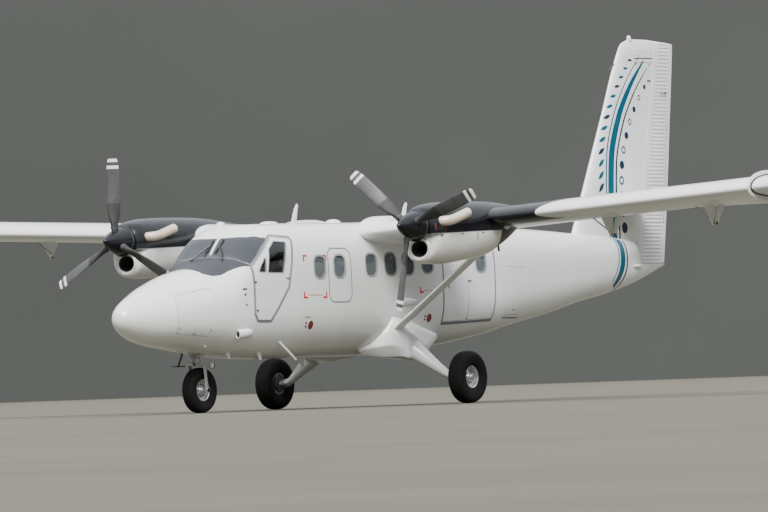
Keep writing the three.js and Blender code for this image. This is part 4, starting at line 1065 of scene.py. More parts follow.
MOUTH_END = 4180              # rings lie closer together ahead of this
NACELLE_STEP = 70
INTAKE_STATION = 3925
INTAKE = {"z": 2367, "wide": 156, "high": 136, "depth": 520, "end_wide": 110, "end_high": 70}
EXHAUST_PATH = [(0, 4150, 2775), (300, 4150, 2775), (375, 4185, 2780), (420, 4290, 2795),
                (435, 4450, 2840), (440, 4680, 2905)]
# Marks on the cowls: tag, station, height, length, height of the mark
COWL_MARKS = [("a", 4000, 2690, 20, 110), ("b", 4210, 2650, 16, 60), ("c", 5060, 2555, 22, 110)]
STRUT_WEDGE = [[(2520, 5560, 2440), (2640, 5480, 2440), (2640, 5800, 2450), (2520, 5960, 2450)],
               [(2410, 5730, 2243), (2480, 5716, 2243), (2480, 6079, 2214), (2410, 6079, 2214)]]


def nacelle_solid(name, grow=0.0, table=NACELLE):
    end = table[-1, 0]
    at = np.unique(np.concatenate((np.linspace(table[0, 0], MOUTH_END, 12),
                                   np.arange(MOUTH_END + 50, end, NACELLE_STEP), [end])))
    rings = []
    for s, half_width, top, bottom, middle, power in zip(at, *between_rows(table, at)):
        x, z = superellipse(half_width + grow, top + grow, bottom - grow, middle, power, power, NACELLE_SIDES)
        rings.append(ring_of(x + ENGINE_X, s, z))
    return loft(name, rings)


def nacelle_patch(name, outline, x0=NACELLE_REACH[0], outer=1.2):
    """A thin cover on the nacelle, from x0 outward, within an outline in side view."""
    cover = cut(nacelle_solid(name, outer), nacelle_solid("tool", -2))
    return common(cover, side_prism(outline, x0, NACELLE_REACH[1]))


def exhaust_pipe(name, sign, radius, first=0):
    path = [(ENGINE_X + sign * out, s, z) for out, s, z in EXHAUST_PATH[first:]]
    return tube(name, even_line(path, 26), radius, sides=24, axis=(0, 0, 1))


def throat_shape(s0, s1, grow):
    """Middles, half widths and half heights of the intake between two stations."""
    parts = [(s - INTAKE_STATION) / INTAKE["depth"] for s in (s0, s1)]
    wide, high = ([INTAKE[key] + (INTAKE["end_" + key] - INTAKE[key]) * part + grow for part in parts]
                  for key in ("wide", "high"))
    return [(ENGINE_X, s, INTAKE["z"]) for s in (s0, s1)], wide, high


def build_nacelles(black, white, metal, dark, red, seal, wing):
    upper = cut(nacelle_solid("cowl_upper_left"), wing, keep=True)
    shaft = [(0, 3800), (132, 3800), (132, 5090), (0, 5090)]
    cut(upper, turned("tool", shaft, (ENGINE_X, 0, THRUST_Z), "s"))
    cut(upper, side_prism(LOWER_COWL, *NACELLE_REACH))
    lower = nacelle_solid("cowl_lower_left", table=COWL)
    common(lower, side_prism(shrunk(LOWER_COWL, 2), *NACELLE_REACH))
    z, wide, high, end = INTAKE["z"], INTAKE["wide"], INTAKE["high"], INTAKE_STATION + INTAKE["depth"]
    mouth = [(ENGINE_X, s, z) for s in (3825, INTAKE_STATION, end)]
    mouth_wide, mouth_high = [wide, wide, INTAKE["end_wide"]], [high, high, INTAKE["end_high"]]
    cut(lower, tube("tool", mouth, mouth_wide, mouth_high, sides=56))
    pipes = join(exhaust_pipe("exhaust_stubs_left", 1, 74), exhaust_pipe("tool", -1, 74))
    for sign in (1, -1):
        cut(pipes, exhaust_pipe("tool", sign, 64, 2))
    pair(upper, black, replaces=("nacelle_upper_left",))
    pair(lower, white, replaces=("nacelle_lower_left",))
    pair(pipes, metal, replaces=("exhaust_left",))
    pair(hoop("intake_lip_left", (ENGINE_X, 3999, z), wide + 26, high + 26, 27, 16), white)
    # painted shade: the intake's duct is dark to stand for the shade deep inside the mouth
    throat = tube("intake_throat_left", *throat_shape(3996, 4443, 4), 56)
    pair(cut(throat, tube("tool", *throat_shape(3980, 4430, -3), 56)), dark)
    pair(nacelle_patch("cowl_seam_left", band([(3925, 2588), (4800, 2616), (5790, 2648)], 9, 8)), seal)
    pair(nacelle_patch("cowl_band_left", [(5745, 2640), (5756, 2640), (5756, 2200), (5745, 2200)]), seal)
    for tag, *stripe in COWL_MARKS:
        pair(nacelle_patch(f"cowl_mark_left_{tag}", frame_outline(*stripe), ENGINE_X), red)
    pair(loft("strut_wedge_left", STRUT_WEDGE), white)
    drain = tube("drain_pipe_left", [(ENGINE_X + 60, 6040, 2440), (ENGINE_X + 62, 6060, 2330)], 17, sides=14)
    pair(drain, dark)
    for k, s in enumerate((4120, 4640, 5200)):
        outline = soft_frame(s, 2562 + (s - 4000) * 0.033, 52, 20, 8)
        pair(nacelle_patch(f"cowl_latch_left_{k}", outline, ENGINE_X, 3.0), dark)


# Propeller: radius part, chord, thickness, pitch from the disc
BLADE = np.array([
    [0.10, 96, 92, 62], [0.20, 120, 80, 56], [0.35, 190, 46, 44], [0.60, 208, 28, 31],
    [0.85, 196, 17, 24], [0.97, 172, 11, 21], [1.00, 128, 8, 20],
])
PROP_RADIUS = 1295
PROP_STATION = 3720
SPINNER = np.array([(0, 3425), (25, 3440), (60, 3490), (110, 3570), (160, 3670), (205, 3790), (236, 3905)])
SPINNER_RING = [(228, 3878), (239, 3878), (239, 3904), (228, 3904)]
BLADE_SIDES = 24
BLADE_NOSE = 0.35             # how much fuller the leading half is
BLADE_ANGLES = {"left": (-50, 70, 190), "right": (0, 120, 240)}
TIP_BANDS = ((0.879, 0.918), (0.961, 1.0))
DEICER = (0.17, 0.46)
CUFF = (0.145, 0.172)


def blade_rings(angle, centre_x, grow=0.0, ends=None):
    parts = np.unique(np.concatenate((np.linspace(0.1, 1.0, 46), np.ravel(TIP_BANDS), [0.985, 0.995])))
    if ends:
        parts = np.linspace(*ends, 16)
    around = np.linspace(0, 2 * math.pi, BLADE_SIDES, endpoint=False)
    turn = math.radians(angle)
    rings = []
    for part, chord, thickness, pitch in zip(parts, *between_rows(BLADE, parts)):
        p = math.radians(pitch)
        across = np.cos(around) * (chord / 2 + grow)
        through = np.sin(around) * (thickness / 2 + grow) * (1 - BLADE_NOSE * np.cos(around))
        x = across * math.cos(p) - through * math.sin(p)
        s = PROP_STATION + across * math.sin(p) + through * math.cos(p)
        z = np.full_like(x, part * PROP_RADIUS)
        rings.append(ring_of(centre_x + x * math.cos(turn) + z * math.sin(turn), s,
                             THRUST_Z - x * math.sin(turn) + z * math.cos(turn)))
    return parts, rings


def build_propellers(black, blade_paint, band_paint, metal, rubber):
    tip = SPINNER[0, 1] - 1
    keys = np.sqrt(SPINNER[:, 1] - tip)
    at = SPINNER[0, 1] + (SPINNER[-1, 1] - SPINNER[0, 1]) * np.linspace(0, 1, 30) ** 2
    radius = smooth(keys, SPINNER[:, 0], np.sqrt(at - tip))
    for word, sign in SIDES.items():
        body = f"{word}_propeller"
        centre = (sign * ENGINE_X, 0, THRUST_Z)
        spinner = turned(f"spinner_{word}", [*zip(radius, at), (0, SPINNER[-1, 1])], centre, "s", 64)
        dress(spinner, black, body, (f"propeller_{word}",))
        dress(turned(f"spinner_ring_{word}", SPINNER_RING, centre, "s", 64), metal, body)
        for k, angle in enumerate(BLADE_ANGLES[word]):
            parts, rings = blade_rings(angle, sign * ENGINE_X)
            blade = dress(loft(f"blade_{word}_{k}", rings), blade_paint, body)
            blade.data.materials.append(band_paint)
            middles = (parts[:-1] + parts[1:]) / 2
            for face in blade.data.polygons:
                row = face.index // BLADE_SIDES
                if row < len(middles) and any(a < middles[row] < b for a, b in TIP_BANDS):
                    face.material_index = 1
            for tag, grow, ends, material in (("boot", 1.6, DEICER, rubber), ("cuff", 9, CUFF, metal)):
                rings = blade_rings(angle, sign * ENGINE_X, grow, ends)[1]
                dress(loft(f"blade_{tag}_{word}_{k}", rings), material, body)


# Fin: height, leading station, trailing station, thickness
FIN = np.array([
    [2235, 12250, 15320, 250], [2520, 12410, 15365, 240], [3550, 12945, 15520, 205],
    [4660, 13520, 15665, 160],
    [5800, 14115, 15812, 120], [5900, 14190, 15822, 84], [5945, 14275, 15830, 62], [6005, 14480, 15000, 26],
])
FIN_SECTION = np.array([[0, 0], [0.03, 0.3], [0.1, 0.44], [0.28, 0.5], [0.6, 0.4], [0.85, 0.22], [1, 0.03]])
FIN_SHOULDER = 5800           # the rounded cap starts here
RUDDER_FOOT = (14350, 2235)
RUDDER_LEAN = 0.235
RUDDER_HINGE_Z = 3650
RUDDER_NOSE = np.array([[2175, 96], [3600, 74], [4700, 60], [5880, 42]])
NOSE_GAP = 9
HINGE_SETBACK = 24
TAILPLANE = {"span": 6300, "z": 3180, "leading": 13480, "chord": 1480, "thickness": 150, "tip": 80,
             "tip_sweep": 40, "tip_thin": 0.15}
ELEVATOR_HINGE = 14470
ELEVATOR_RADIUS = 62
ELEVATOR_ROOT = 180
RUDDER_ROOM = [(-170, 14260), (170, 14260), (760, 15160), (-760, 15160)]
FIN_BEACON = [(0, 5975), (42, 5975), (42, 6000), (36, 6040), (22, 6062), (0, 6068)]


def fin_half(parts):
    return smooth(np.sqrt(FIN_SECTION[:, 0]), FIN_SECTION[:, 1], np.sqrt(parts))


def fin_solid(name, grow=0.0):
    parts = cosine_spaced(34)
    heights = np.concatenate((np.linspace(FIN[0, 0], FIN_SHOULDER, 40),
                              np.linspace(FIN_SHOULDER + 20, FIN[-1, 0], 12)))
    rings = []
    for z, a, b, t in zip(heights, *between_rows(FIN, heights)):
        s = a + parts * (b - a)
        x = fin_half(parts) * t + grow
        left, right = ring_of(x, s, z), ring_of(-x, s, z)
        rings.append(np.concatenate((left, right[-1:0:-1] if grow == 0 else right[::-1])))
    return loft(name, rings)


def rudder_hinge(z):
    return RUDDER_FOOT[0] + (z - RUDDER_FOOT[1]) * RUDDER_LEAN


def rudder_nose(grow):
    heights = np.linspace(2100, 5920, 12)
    radius = np.interp(heights, RUDDER_NOSE[:, 0], RUDDER_NOSE[:, 1]) + grow
    return tube("tool", [(0, rudder_hinge(z), z) for z in heights], radius, sides=40)


def ahead_of_hinge(shift):
    return side_prism([(0, 1000), (rudder_hinge(1000) + shift, 1000), (rudder_hinge(7000) + shift, 7000),
                       (0, 7000)], -2000, 2000)


def tailplane_solid(name):
    t = TAILPLANE
    parts = cosine_spaced(30)
    straight, thin = t["span"] / 2 - t["tip"], t["tip_thin"]
    stops = [(x, 1.0, 0.0) for x in np.linspace(0, straight, 14)]
    for a in np.linspace(0.2, math.pi / 2, 7):
        stops.append((straight + t["tip"] * math.sin(a), thin + (1 - thin) * math.cos(a),
                      t["tip_sweep"] * (1 - math.cos(a))))
    rings = []
    for x, scale, shift in [(-x, k, d) for x, k, d in stops[:0:-1]] + stops:
        lead = t["leading"] + shift
        s = lead + parts * (t["leading"] + t["chord"] - lead)
        h = fin_half(parts) * t["thickness"] * scale
        rings.append(np.concatenate((ring_of(x, s, t["z"] + h), ring_of(x, s, t["z"] - h)[-1:0:-1])))
    return loft(name, rings)


def build_tail(paint, ribbed, skin, dark, metal, white, lamp):
    tailplane = tailplane_solid("tailplane_skin")
    fin = common(fin_solid("fin_skin"), ahead_of_hinge(-HINGE_SETBACK))
    cut(fin, rudder_nose(NOSE_GAP))
    for tool in (tailplane, skin):
        cut(fin, tool, keep=True)
    dress(fin, paint, replaces=("fin",))
    rudder = join(cut(fin_solid("rudder_skin"), ahead_of_hinge(0)), rudder_nose(0))
    common(rudder, block(-900, 900, 12000, 17000, RUDDER_FOOT[1], 7000))
    dress(rudder, ribbed, "rudder_body", ("rudder",))
    half = TAILPLANE["span"] / 2
    elevator = common(copy_of(tailplane, "elevator_skin_left"),
                      block(ELEVATOR_ROOT, half + 50, ELEVATOR_HINGE, 16000, 2000, 4000))
    join(elevator, elevator_nose(ELEVATOR_ROOT, half - 60, 0))
    cut(elevator, plan_prism(RUDDER_ROOM, 2000, 4000))
    pair(elevator, paint, "left_elevator", ("elevator_left",))
    cut(tailplane, block(-4000, 4000, ELEVATOR_HINGE - HINGE_SETBACK, 16000, 2000, 4000))
    cut(tailplane, elevator_nose(-4000, 4000, NOSE_GAP))
    cut(tailplane, rudder_nose(NOSE_GAP))
    dress(tailplane, paint, replaces=("tailplane",))
    build_tail_details(dark, metal, white, lamp)


def elevator_nose(x0, x1, grow):
    z = TAILPLANE["z"]
    return tube("tool", [(x0, ELEVATOR_HINGE, z), (x1, ELEVATOR_HINGE, z)], ELEVATOR_RADIUS + grow,
                sides=40, axis=(0, 1, 0))


def build_tail_details(dark, metal, white, lamp):
    """Seams on the fin and rudder, the tab's rod, the rod ahead of the fin, and the lamps."""
    dress(fin_patch("fin_rail", [(14506, 5668), (15110, 5684), (15110, 5702), (14506, 5686)]), dark)
    dress(fin_patch("fin_cap_seam", [(14490, 5600), (15110, 5616), (15110, 5624), (14490, 5608)]), metal)
    for k, s in enumerate((14560, 14990)):
        dress(fin_patch(f"fin_stub_{k}", frame_outline(s, 5580, 34, 46)), metal)
    dress(fin_patch("fin_hinge_mark", frame_outline(rudder_hinge(5306) - 110, 5306, 118, 30)), dark)
    seam = band([(15330, 2900), (15440, 3700), (15545, 4600)], 10, 10)
    dress(fin_patch("rudder_tab_seam", seam, on_rudder=True), dark, "rudder_body")
    dress(tube("tab_link", [(62, 15301, 5120), (50, 15524, 5119)], 9, sides=10), metal, "rudder_body")
    dress(soft_block(-12, 56, 15490, 15530, 5100, 5140, 8, "tab_horn"), metal, "rudder_body")
    s, z = rudder_hinge(RUDDER_HINGE_Z), RUDDER_HINGE_Z
    dress(soft_block(-70, 70, s - 105, s - 70, z - 20, z + 20, 8, "rudder_hinge_cover"), dark)
    dress(turned("fin_beacon", FIN_BEACON, (0, 14470, 0), "z", 32), lamp)
    dress(tube("fin_rod", [(0, 14030, 5600), (0, 13800, 5452)], [13, 9], sides=10), dark)
    dress(pod("tail_lamp", (0, 15262, 2255), 30, 30, 34), lamp)
    pair(pod("tail_aerial_left", (skin_x(14060, 2170) - 6, 14060, 2170), 44, 175, 36), white)


def fin_patch(name, outline, x0=-400, x1=400, on_rudder=False):
    """A thin cover on the fin's or the rudder's side, within an outline in side view."""
    cover = common(fin_solid(name, 1.3), side_prism(outline, x0, x1))
    shift = ahead_of_hinge(4 if on_rudder else -HINGE_SETBACK - 4)
    return cut(cover, shift) if on_rudder else common(cover, shift)


# The tail's painted design: plain bands, leaves and dots beside a line in side view
SWEEP = [(13290, 1830), (13560, 2260), (13650, 2760), (13590, 3300), (13650, 3950), (13930, 4650),
         (14360, 5230), (14800, 5640)]
BANDS = [(0, [120, 165, 175, 175, 165, 140, 95, 30], "teal"), (160, [40, 46, 50, 50, 46, 40, 30, 14], "navy"),
         (-140, [26, 32, 36, 36, 32, 28, 20, 10], "teal")]
LEAF_SHIFT = -285
LEAVES = 15
LEAF_TURN = 0.75
DOT_SHIFT = 330
DOTS = 11
DESIGN_JOINT = 2700           # below this the bands lie on the fuselage


def leaf(s, z, length, width, angle):
    """A pointed oval about its middle."""
    t = np.linspace(-1, 1, 13)
    side = width / 2 * (1 - t * t)
    along, across = np.concatenate((t, t[-2:0:-1])) * length / 2, np.concatenate((side, -side[-2:0:-1]))
    c, d = math.cos(angle), math.sin(angle)
    return np.stack((s + along * c - across * d, z + along * d + across * c), axis=1)


def along_line(line, share):
    """The place and direction at a share of a line's length."""
    run = run_of(line)
    at = np.array([share, share + 0.01]) * run[-1]
    (s, after_s), (z, after_z) = (smooth(run, column, at) for column in line.T)
    return s, z, math.atan2(after_z - z, after_s - s)


def shifted(points, amount):
    points = np.asarray(points, float)
    return points - amount * across_line(points)


def build_design(paints, skin):
    def painted(name, outline, side, paint, hole=None):
        """A thin shape of paint on one side of the fin, ended at the fuselage."""
        piece = fin_patch(name, outline, side * 0.5, side * 400)
        if hole is not None:
            cut(piece, side_prism(hole, side * 0.1, side * 500))
        dress(cut(piece, skin, keep=True), paints[paint])

    below = [(12000, 1000), (15200, 1000), (15200, DESIGN_JOINT), (12000, DESIGN_JOINT)]
    leaf_line, dot_line = shifted(SWEEP, LEAF_SHIFT), shifted(SWEEP, DOT_SHIFT)
    for word, side in SIDES.items():
        for k, (shift, widths, paint) in enumerate(BANDS):
            outline = band(shifted(SWEEP, shift), widths, 44)
            painted(f"tail_band_{word}_{k}", outline, side, paint)
            lower = skin_patch(f"tail_sweep_{word}_{k}", outline, side, 2, 1.0)
            dress(common(lower, side_prism(below, side * 2, side * 900)), paints[paint])
        for k, share in enumerate(np.linspace(0.27, 0.93, LEAVES)):
            s, z, angle = along_line(leaf_line, share)
            shape = leaf(s, z, 245 - 8 * k, 84 - 3 * k, angle - LEAF_TURN)
            painted(f"tail_leaf_{word}_{k}", shape, side, "navy" if k % 3 == 2 else "teal")
        for k, share in enumerate(np.linspace(0.30, 0.93, DOTS)):
            s, z, _ = along_line(dot_line, share)
            size = 92 - 5 * k
            hole = disc(s, z, size * 0.55) if k % 2 else None
            painted(f"tail_dot_{word}_{k}", disc(s, z, size), side, "teal" if k % 2 else "navy", hole)


# Landing gear
MAIN_AXLE = (1855, 6550, 408)
MAIN_TYRE = {"radius": 408, "width": 264, "rim": 178}
NOSE_AXLE = (0, 2050, 345)
NOSE_TYRE = {"radius": 345, "width": 214, "rim": 170}
STEER_STATION = 2000
TAXI_LIGHT = (222, 0, 722)
FAIRING = [
    (560, [(5400, 900), (5700, 1060), (5950, 1440), (6400, 1400), (7560, 1110), (7150, 812), (6350, 735),
           (5600, 800)]),
    (820, [(5780, 940), (5860, 1160), (5990, 1400), (6430, 1345), (7260, 1085), (6950, 815), (6390, 712),
           (5950, 765)]),
    (905, [(5900, 950), (5950, 1150), (6040, 1365), (6425, 1300), (7195, 1090), (6830, 820), (6385, 706),
           (6080, 770)]),
    (980, [(6200, 860), (6170, 1010), (6130, 1190), (6380, 1130), (6720, 930), (6710, 812), (6400, 706),
           (6220, 735)]),
]
MAIN_LEG = [(860, 6440, 850, 150, 108), (1080, 6470, 715, 120, 86), (1300, 6498, 580, 90, 68),
            (1500, 6522, 460, 74, 56), (1650, 6542, 410, 64, 50)]
LEG_SLEEVE = [(860, 6440, 905, 172, 166), (1080, 6464, 756, 138, 128), (1300, 6492, 600, 100, 88),
              (1490, 6520, 468, 77, 61)]
STRUT_FOOT = np.array((930, 6060, 1225.0))
STRUT_TOP = np.array((3130, 5890, 2700.0))
FAIRING_CORNER = 45
AXLE_RADIUS = 30
GROOVE_HALF = 5.5
GROOVE_DEPTH = 8
WHEEL_HOLES = 9
HUB_CAP = [(0, 0.4), (58, 0.4), (56, 0.56), (44, 0.68), (20, 0.73), (0, 0.74)]
BRAKE_HOSE = [(1120, 6398, 700), (1300, 6440, 590), (1520, 6478, 470), (1650, 6520, 452), (1735, 6572, 452)]
NOSE_BARREL = [(0, 772), (60, 772), (62, 778), (62, 800), (54, 806), (54, 846), (61, 852), (61, 884),
               (54, 892), (54, 960), (0, 960)]
CROWN_Z = 712
# Torque link: half width, then distance aft of the steering axis and height
TORQUE_LINKS = [(26, [(-64, 820), (-120, 782), (-108, 770), (-50, 800)]),
                (20, [(-122, 790), (-104, 790), (-38, 738), (-46, 722)])]
TAXI_SHELL = [(0, 2122), (24, 2120), (44, 2104), (50, 2078), (45, 2078), (0, 2094)]
TAXI_LENS = [(0, 2068), (30, 2071), (44, 2078), (44, 2086), (0, 2086)]


def tyre_profile(tyre, grooves):
    radius, half, rim = tyre["radius"], tyre["width"] / 2, tyre["rim"]
    arc = [(radius, 0), (radius * 0.99, half * 0.45), (radius * 0.93, half * 0.84), (radius * 0.78, half),
           (rim + 45, half * 0.86), (rim, half * 0.62)]
    fine = even_line(arc, 64)
    for row in fine:
        if any(abs(row[1] - groove) < GROOVE_HALF for groove in grooves):
            row[0] -= GROOVE_DEPTH
    return [(r, -a) for r, a in fine[:0:-1]] + [tuple(row) for row in fine]


def build_wheel(word, centre, tyre, grooves, rubber, metal, dark, body, nodes, out):
    ring = turned(f"tyre_{word}", tyre_profile(tyre, grooves), centre, "x", 96)
    dress(ring, rubber, body, (nodes[0],), 24)
    half, rim = tyre["width"] / 2, tyre["rim"]
    web = [(33, -half * 0.45), (65, -half * 0.45), (65, -30), (rim - 34, -30), (rim - 22, -half * 0.6),
           (rim - 0.5, -half * 0.62), (rim - 0.5, half * 0.62), (rim - 9, half * 0.64),
           (rim - 22, half * 0.56), (rim - 34, 26), (rim - 60, 18), (78, 34), (65, half * 0.42),
           (33, half * 0.42)]
    wheel = turned(f"wheel_{word}", [(r, a * out) for r, a in web], centre, "x", 72)

    def across(turns, radius, x0, x1, size, sides):
        """A short bar along the axle, so far from it and so far round."""
        angle = 2 * math.pi * turns / WHEEL_HOLES
        s, z = centre[1] + radius * math.cos(angle), centre[2] + radius * math.sin(angle)
        ends = [(centre[0] + x0, s, z), (centre[0] + x1, s, z)]
        return tube("tool", ends, size, sides=sides, axis=(0, 0, 1))

    for k in range(WHEEL_HOLES):
        cut(wheel, across(k, (rim - 34 + 78) / 2, -60, 60, (rim - 120) * 0.26, 16))
    dress(wheel, metal, body, (nodes[1],))
    bolts = [across(k + 0.5, 92, out * 20, out * 46, 9, 6) for k in range(WHEEL_HOLES)]
    dress(gathered(f"wheel_bolts_{word}", bolts), dark, body)
    cap = [(r, out * half * share) for r, share in HUB_CAP]
    dress(turned(f"hub_cap_{word}", cap, centre, "x", 40), metal, body)


def build_gear(paint, skin, metal, rubber, rim_metal, dark, lamp, chrome):
    build_gear_fairing(paint, skin)
    leg = tapered_bar("main_leg_skin_left", MAIN_LEG, 20, 32)
    x, *axle = MAIN_AXLE
    join(leg, tube("tool", [(x - 290, *axle), (x + 76, *axle)], AXLE_RADIUS, sides=32, axis=(0, 1, 0)))
    pair(leg, paint, replaces=("main_leg_left",), angle=40)
    pair(cut(tapered_bar("leg_sleeve_left", LEG_SLEEVE, 16, 36), skin, keep=True), paint, angle=40)
    fitting = tube("axle_fitting_left", [(1566, 6532, 424), (1640, 6545, 410), (1700, 6549, 408)],
                   [66, 72, 58], [62, 66, 56], 28, (0, 1, 0))
    pair(fitting, metal)
    brake = turned("brake_disc_left", [(40, -118), (128, -118), (128, -84), (40, -84)], MAIN_AXLE, "x", 48)
    caliper = soft_block(1726, 1778, 6560, 6700, 330, 470, 14, "tool")
    pair(gathered("brake_left", [brake, caliper]), dark)
    pair(tube("brake_hose_left", BRAKE_HOSE, 9, sides=10), rubber)
    wide = [84, *[105] * 14, 84]
    strut = tube("strut_skin_left", on_strut(np.linspace(-0.05, 1, 16)), wide, [w * 36 / 105 for w in wide],
                 36, (0, 1, 0))
    pair(cut(strut, skin, keep=True), paint, replaces=("strut_left",))
    sleeve = tube("strut_sleeve_left", on_strut((0.03, 0.05, 0.145, 0.15)), [106, 113, 113, 106],
                  [37, 43, 43, 37], 36, (0, 1, 0))
    pair(sleeve, paint)
    for word, sign in SIDES.items():
        build_wheel(f"main_{word}", (sign * x, *axle), MAIN_TYRE, (16, 50, 84), rubber, rim_metal, dark,
                    f"{word}_main_wheel", (f"main_tyre_{word}", f"main_rim_{word}"), sign)
    build_wheel("nose", NOSE_AXLE, NOSE_TYRE, (14, 42, 68), rubber, rim_metal, dark, "nose_wheel",
                ("nose_tyre", "nose_rim"), 1)
    build_nose_gear(metal, chrome, dark, lamp)


def build_gear_fairing(paint, skin):
    at = np.linspace(FAIRING[0][0], FAIRING[-1][0], 22)
    keys = [x for x, _ in FAIRING]
    shapes = np.array([rounded(outline, FAIRING_CORNER, 5) for _, outline in FAIRING])
    tracks = np.array([[smooth(keys, shapes[:, i, c], at) for c in (0, 1)] for i in range(shapes.shape[1])])
    rings = [[(x, s, z) for s, z in tracks[:, :, k]] for k, x in enumerate(at)]
    last = np.array(rings[-1])
    middle = last.mean(axis=0)
    for scale, out in ((0.96, 9), (0.86, 17), (0.7, 21)):
        ring = middle + (last - middle) * scale
        ring[:, 0] = FAIRING[-1][0] + out
        rings.append(ring)
    fairing = cut(loft("gear_fairing_skin_left", rings), skin, keep=True)
    pair(fairing, paint, replaces=("gear_fairing_left",), angle=40)


def tapered_bar(name, rows, count, sides):
    """An oval bar through rows of x, station, z, half width and half depth."""
    x, s, z, wide, deep = along_rows(rows, count)
    return tube(name, np.stack((x, s, z), axis=1), wide, deep, sides, (0, 1, 0))


def on_strut(shares):
    return [STRUT_FOOT + (STRUT_TOP - STRUT_FOOT) * share for share in shares]


def build_nose_gear(metal, chrome, dark, lamp):
    s = STEER_STATION
    barrel = turned("nose_leg_barrel", NOSE_BARREL, (0, s, 0), "z", 40)
    join(barrel, tube("tool", [(0, s - 40, 790), (0, 1760, 960)], 22, sides=20))
    dress(barrel, metal, replaces=("nose_leg",))
    for k, x in enumerate((-78, 78)):
        jack = tube(f"steering_jack_{k}", [(x, s - 60, 866), (x, s + 80, 866)], 19, sides=18, axis=(0, 0, 1))
        dress(jack, chrome)
    low, (_, axle_s, axle_z) = CROWN_Z, NOSE_AXLE
    crown = soft_block(-159, 159, s - 46, s + 64, low, low + 34, 12, "nose_fork_crown")
    join(crown, turned("tool", [(0, low + 4), (46, low + 4), (46, 768), (0, 768)], (0, s, 0), "z", 36))
    for x in (-141, 141):
        points = [(x, axle_s, axle_z - 40), (x, axle_s, axle_z + 30), (x, s + 26, 560), (x, s + 10, low + 26)]
        join(crown, tube("tool", points, [16, 17, 17, 18], [34, 40, 34, 42], 24))
    join(crown, tube("tool", [(-175, axle_s, axle_z), (175, axle_s, axle_z)], AXLE_RADIUS, sides=32,
                     axis=(0, 1, 0)))
    dress(crown, metal, "steering", ("nose_fork",))
    nuts = [tube("tool", [(x - 9, axle_s, axle_z), (x + 9, axle_s, axle_z)], 40, sides=6, axis=(0, 1, 0))
            for x in (-166, 166)]
    dress(gathered("nose_axle_nuts", nuts), metal, "steering")
    links = [loft("tool", [[(x, s + ds, z) for ds, z in outline] for x in (-half, half)])
             for half, outline in TORQUE_LINKS]
    dress(gathered("torque_link", links), chrome, "steering")
    dress(turned("taxi_light_shell", TAXI_SHELL, TAXI_LIGHT, "s", 32), dark, "steering")
    dress(turned("taxi_light_lens", TAXI_LENS, TAXI_LIGHT, "s", 32), lamp, "steering")
    arm = tube("taxi_light_arm", [(150, 2040, 730), (TAXI_LIGHT[0], 2106, TAXI_LIGHT[2])], 12, sides=12)
    dress(arm, metal, "steering")


# Seats: cushions filled by a cloth simulation, then laid on plain frames
PAD_VOXEL = 0.014
PAD_STEPS = 16
PAD_PRESSURE = 4.0
PAD_CAP = 16                  # millimetres that the cover may move
PAD_CROWN = 0.014             # metres, as the seam and channels
CROWN_POWER = 2.4
PAD_SEAM = (0.006, 0.004)     # half height and depth
PAD_CHANNEL = (0.009, 0.008)  # half width and depth
PAD_CHANNELS = (-0.33, 0.0, 0.33)
CUSHION = (400, 405, 96)
BACKREST = (385, 520, 84)
CREW_SEAT = (395, 3120)
SEAT_FIRST = 3950
SEAT_PITCH = 760
SEAT_PLACES = [(530, 4), (-135, 5), (-545, 5)]
RAIL_HEIGHT = 40
# Bars of a seat's frame: station and height of both ends, half width, half depth
SEAT_BARS = [(130, 0, 60, 235, 12, 18), (350, 0, 430, 235, 12, 18), (20, 240, 460, 240, 11, 13),
             (450, 240, 555, 880, 11, 13)]


def as_mesh(obj):
    depsgraph = bpy.context.evaluated_depsgraph_get()
    return bpy.data.meshes.new_from_object(obj.evaluated_get(depsgraph))


def filled(base, rest):
    """How far each point moves as the cover fills."""
    cloth = base.modifiers.new("cloth", "CLOTH")
    cloth.settings.use_pressure = True
    cloth.settings.uniform_pressure_force = PAD_PRESSURE
    cloth.settings.effector_weights.gravity = 0
    cloth.point_cache.frame_start = 1
    cloth.point_cache.frame_end = PAD_STEPS
    for step in range(1, PAD_STEPS + 1):
        bpy.context.scene.frame_set(step)
    moved = np.array([v.co for v in as_mesh(base).vertices]) - rest
    base.modifiers.clear()
    bpy.context.scene.frame_set(1)
    return moved


def pad(name, wide, long, thick):
    """A crowned cushion about the origin, seams and channels pressed in."""
    base = soft_block(-wide / 2, wide / 2, DATUM - long / 2, DATUM + long / 2, -thick / 2, thick / 2,
                      thick * 0.36, name)
    remesh = base.modifiers.new("remesh", "REMESH")
    remesh.mode = "VOXEL"
    remesh.voxel_size = PAD_VOXEL
    base.data = as_mesh(base)
    base.modifiers.clear()
    rest = np.array([v.co for v in base.data.vertices])
    moved = filled(base, rest)
    reach = np.linalg.norm(moved, axis=1)
    scale = np.minimum(1, PAD_CAP * MM / np.maximum(reach, 1e-9))
    places = rest + moved * scale[:, None]
    half_w, half_l = wide / 2 * MM, long / 2 * MM
    crown = (1 - np.clip(np.abs(places[:, 0]) / half_w, 0, 1) ** CROWN_POWER) * (
        1 - np.clip(np.abs(places[:, 1]) / half_l, 0, 1) ** CROWN_POWER)
    up = places[:, 2] > 0
    places[up, 2] += crown[up] * PAD_CROWN
    seam = np.exp(-(places[:, 2] / PAD_SEAM[0]) ** 2) * PAD_SEAM[1]
    edge = np.maximum(np.abs(places[:, 0]) / half_w, np.abs(places[:, 1]) / half_l)
    places[:, :2] *= (1 - (seam * (edge > 0.8) / half_w))[:, None]
    for line in PAD_CHANNELS:
        across = (places[:, 0] / half_w - line) * half_w
        places[up, 2] -= (np.exp(-(across / PAD_CHANNEL[0]) ** 2) * PAD_CHANNEL[1])[up]
    for vertex, place in zip(base.data.vertices, places):
        vertex.co = place
    return base


